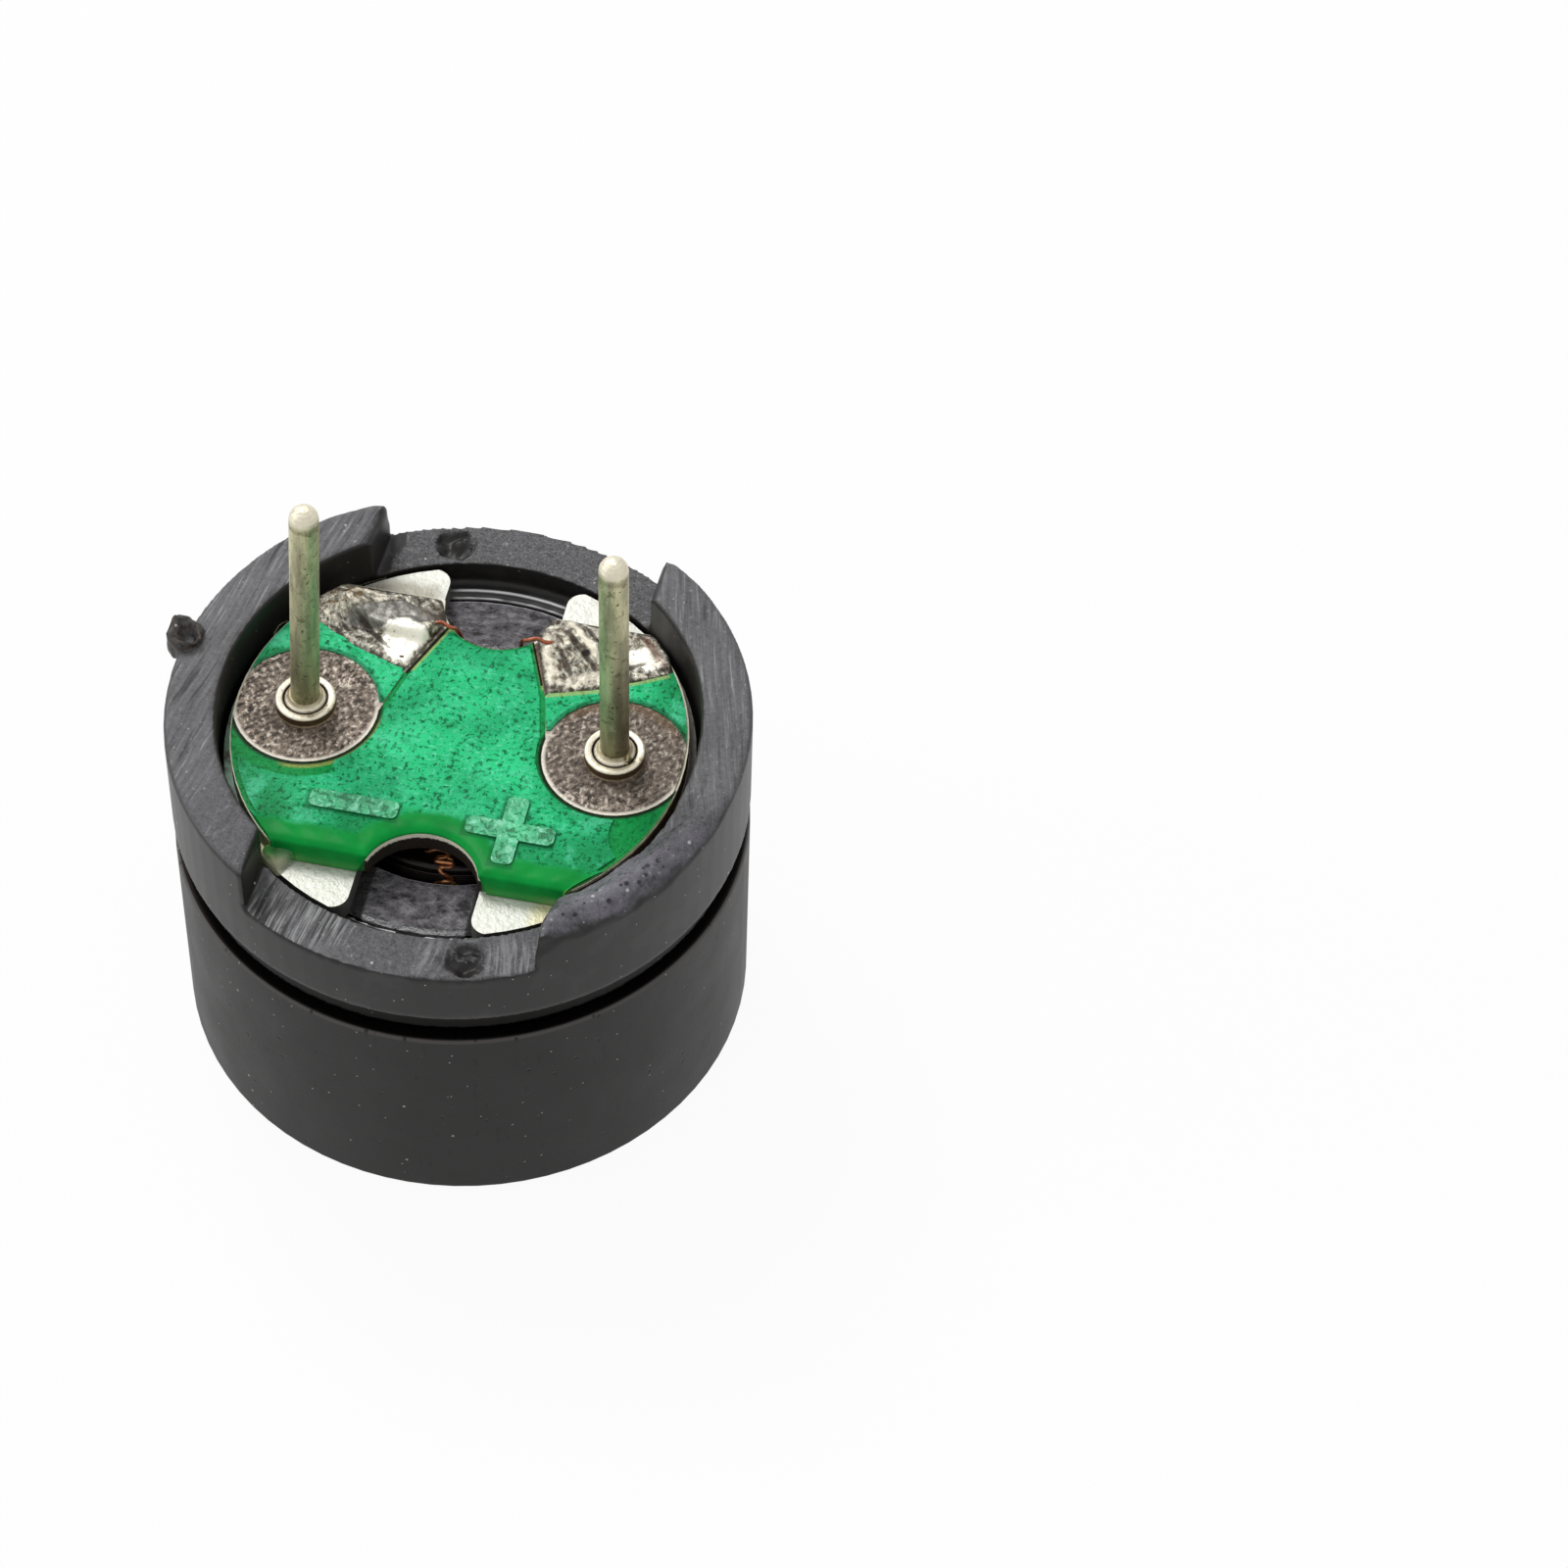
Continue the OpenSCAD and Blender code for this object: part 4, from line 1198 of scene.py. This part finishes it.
class BUZZER_OT_solder(PieceOperator, bpy.types.Operator):
    """Solder lumps with flux on the two lands"""

    bl_idname = "buzzer.solder"
    bl_label = "Solder"

    land = ((1.2, 3.36), (0.96, 2.8), (1.3, 1.85), (1.5, 1.3), (2.6, 1.66), (3.98, 2.4),
            (3.74, 2.9), (3.34, 3.36))

    def minus_height(self, x, y, rim):
        facet = bulge(x, y, -2.1, 2.62, 1.35, 0.5, -12.0)
        rough = rumple(x, y, 3.5, 1.0) * 0.5 + rumple(x, y, 8.0, 2.0) * 0.3
        low = 0.06 + 0.05 * bulge(x, y, -1.7, 2.0, 0.6, 0.6)
        side = 0.5 * bulge(x, y, -3.1, 2.75, 0.7, 0.6)
        rise = low + self.tall * (min(0.75, 1.5 * facet) + side * (0.8 + rough))
        return (rise + 0.05 * rough * self.tall / 0.3) * min(1.0, rim / 0.12) ** 0.6

    def plus_height(self, x, y, rim):
        ridge = bulge(x, y, 2.1, 2.6, 1.1, 0.28, -50.0)
        rough = rumple(x, y, 3.2, 5.0) * 0.6 + rumple(x, y, 7.5, 6.0) * 0.4
        low = 0.07 + 0.06 * bulge(x, y, 3.3, 2.8, 0.6, 0.5)
        mound = bulge(x, y, 1.9, 2.5, 0.9, 0.8)
        rise = low + self.tall * (0.55 * ridge + mound * (0.5 + 0.6 * rough))
        return (rise + 0.06 * rough * self.tall / 0.3) * min(1.0, rim / 0.12) ** 0.6

    def execute(self, context):
        colours = context.scene.buzzer_colours
        self.tall = context.scene.buzzer_sizes.solder_rise / MM
        metal = solder(colours.solder, colours.flux)
        mirrored = [(-x, y) for x, y in reversed(self.land)]
        for name, outline, centre, height in (
            ("minus", mirrored, (-2.25, 2.5), self.minus_height),
            ("plus", self.land, (2.25, 2.5), self.plus_height),
        ):
            points, faces = lump(outline, centre, BOARD_Z, height)
            new_piece(f"solder_{name}", points, faces, metal, "solder", f"solder_joint_{name}")
        return {"FINISHED"}


class BUZZER_OT_magnet(PieceOperator, bpy.types.Operator):
    """Plate, pole, magnet and diaphragm"""

    bl_idname = "buzzer.magnet"
    bl_label = "Magnet circuit"

    def execute(self, context):
        colours = context.scene.buzzer_colours
        steel = plated_steel(colours.steel)
        dress("yoke_plate", steel)
        dress("core_pole", steel)
        dress("magnet_ring", sintered_magnet(colours.magnet))
        thin = rolled_steel()
        dress("diaphragm", thin)
        dress("diaphragm_weight", thin)
        return {"FINISHED"}


class BUZZER_OT_coil(PieceOperator, bpy.types.Operator):
    """Coil body, its outer layer of turns, a few loose turns and its two ends"""

    bl_idname = "buzzer.coil"
    bl_label = "Coil"

    loose = (
        ((-0.3, -2.3, 6.55), (-0.1, -2.34, 6.72), (0.12, -2.3, 6.78), (0.3, -2.33, 6.75),
         (0.3, -2.42, 6.74), (0.1, -2.54, 6.74), (0.16, -2.6, 6.76), (0.44, -2.56, 6.72),
         (0.42, -2.64, 6.7), (0.22, -2.71, 6.7), (0.3, -2.8, 6.66), (0.5, -2.78, 6.5)),
        ((0.0, -2.44, 6.6), (0.2, -2.42, 6.7), (0.42, -2.44, 6.66), (0.55, -2.5, 6.5)),
        ((0.1, -2.86, 6.3), (0.3, -2.9, 6.5), (0.46, -2.86, 6.5), (0.6, -2.78, 6.3)),
    )
    end = (
        (0.55, 2.72, 6.5), (0.66, 2.8, 6.9), (0.64, 2.74, 7.4), (0.7, 2.6, 7.84),
        (0.84, 2.54, 7.97), (1.02, 2.6, 8.0), (1.2, 2.56, 7.98), (1.45, 2.66, 7.9),
    )

    def execute(self, context):
        colours, sizes = context.scene.buzzer_colours, context.scene.buzzer_sizes
        # painted shade: the coil and its outer layer of turns are painted near black, with little
        # gloss, for the deep shade round them
        body = enamelled_wire("coil_body", tone(20, 8, 6), gloss=0.05)
        wire = enamelled_wire("enamelled_wire", colours.copper)
        # painted highlight: the loose turns get the wire's tint 2.4 times brighter, mottled from near
        # black to pale, for their glints
        bare = enamelled_wire("loose_wire", [2.4 * c for c in colours.copper], 0.1, 2.4)
        dress("coil", body)
        low, high = (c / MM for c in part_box("coil"))
        thick = sizes.wire_d / MM
        radius, turns, steps = high.x + thick * 0.3, sizes.coil_layers, 40
        bottom, top = low.z + 0.15, high.z - 0.15
        path = []
        for i in range(turns * steps + 1):
            t, a = i / (turns * steps), TURN * i / steps
            path.append(
                Vector((radius * math.cos(a), radius * math.sin(a), bottom + (top - bottom) * t))
            )
        new_piece("coil_turns", *tube(path, thick / 2, 6), body, "enamelled_wire")
        for i, turn in enumerate(self.loose):
            path = smooth_path([Vector(p) for p in turn], 8)
            new_piece(f"loose_turn_{i + 1}", *tube(path, 0.046), bare, "enamelled_wire")
        for name, side in (("minus", -1), ("plus", 1)):
            path = smooth_path([Vector((x * side, y, z)) for x, y, z in self.end], 6)
            new_piece(
                f"coil_end_{name}", *tube(path, 0.046), wire, "enamelled_wire", f"coil_lead_{name}"
            )
        return {"FINISHED"}


class BUZZER_OT_glue(PieceOperator, bpy.types.Operator):
    """Run of glue at the board's front corner and stray threads"""

    bl_idname = "buzzer.glue"
    bl_label = "Glue"

    run = ((-3.22, -3.46), (-2.5, -3.46), (-2.5, -3.6), (-2.66, -3.84), (-2.76, -4.08),
           (-2.98, -3.93), (-3.2, -3.76), (-3.26, -3.58))
    threads = (
        ((-3.86, 3.3, 7.62), (-3.76, 3.5, 7.8), (-3.66, 3.76, 7.95)),
        ((-3.72, 3.05, 7.4), (-3.5, 3.45, 7.36), (-3.0, 3.84, 7.34), (-2.6, 4.1, 7.34)),
        ((-4.5, 2.0, 7.4), (-4.42, 2.2, 7.5), (-4.3, 2.4, 7.45)),
    )

    def height(self, x, y, rim):
        slope = min(1.0, max(0.0, (y + 4.0) / 0.45))
        return (0.07 + 0.24 * slope + 0.03 * rumple(x, y, 2.5, 9.0)) * min(1.0, rim / 0.12) ** 0.5

    def execute(self, context):
        glue = clear_glue(context.scene.buzzer_colours.glue)
        points, faces = lump(self.run, (-2.94, -3.7), PLATE_Z, self.height, 14, 64)
        new_piece("glue_run", points, faces, glue, "clear_glue", "glue_fillet")
        thin = context.scene.buzzer_sizes.fibre_d / MM / 2
        for i, thread in enumerate(self.threads):
            path = smooth_path([Vector(p) for p in thread], 8)
            points, faces = tube(path, lambda t: thin * (1.0 - 0.5 * t), 6)
            new_piece(f"glue_thread_{i + 1}", points, faces, glue, "clear_glue")
        return {"FINISHED"}


class BUZZER_PT_panel(bpy.types.Panel):
    bl_label = "Buzzer"
    bl_idname = "BUZZER_PT_panel"
    bl_space_type = "VIEW_3D"
    bl_region_type = "UI"
    bl_category = "Buzzer"

    def draw(self, context):
        layout = self.layout
        for group in (context.scene.buzzer_sizes, context.scene.buzzer_colours):
            for name in group.__annotations__:
                layout.prop(group, name)
        for operator in OPERATORS:
            layout.operator(operator.bl_idname)


GROUPS = (BuzzerColours, BuzzerSizes)
OPERATORS = (
    BUZZER_OT_stage,
    BUZZER_OT_case,
    BUZZER_OT_board,
    BUZZER_OT_pins,
    BUZZER_OT_solder,
    BUZZER_OT_magnet,
    BUZZER_OT_coil,
    BUZZER_OT_glue,
)


def register():
    for cls in (*GROUPS, *OPERATORS, BUZZER_PT_panel):
        bpy.utils.register_class(cls)
    bpy.types.Scene.buzzer_colours = PointerProperty(type=BuzzerColours)
    bpy.types.Scene.buzzer_sizes = PointerProperty(type=BuzzerSizes)


def unregister():
    del bpy.types.Scene.buzzer_sizes
    del bpy.types.Scene.buzzer_colours
    for cls in (BUZZER_PT_panel, *reversed(OPERATORS), *reversed(GROUPS)):
        bpy.utils.unregister_class(cls)


def main():
    register()
    for operator in OPERATORS:
        getattr(bpy.ops.buzzer, operator.bl_idname.split(".")[1])()


if __name__ == "__main__":
    main()
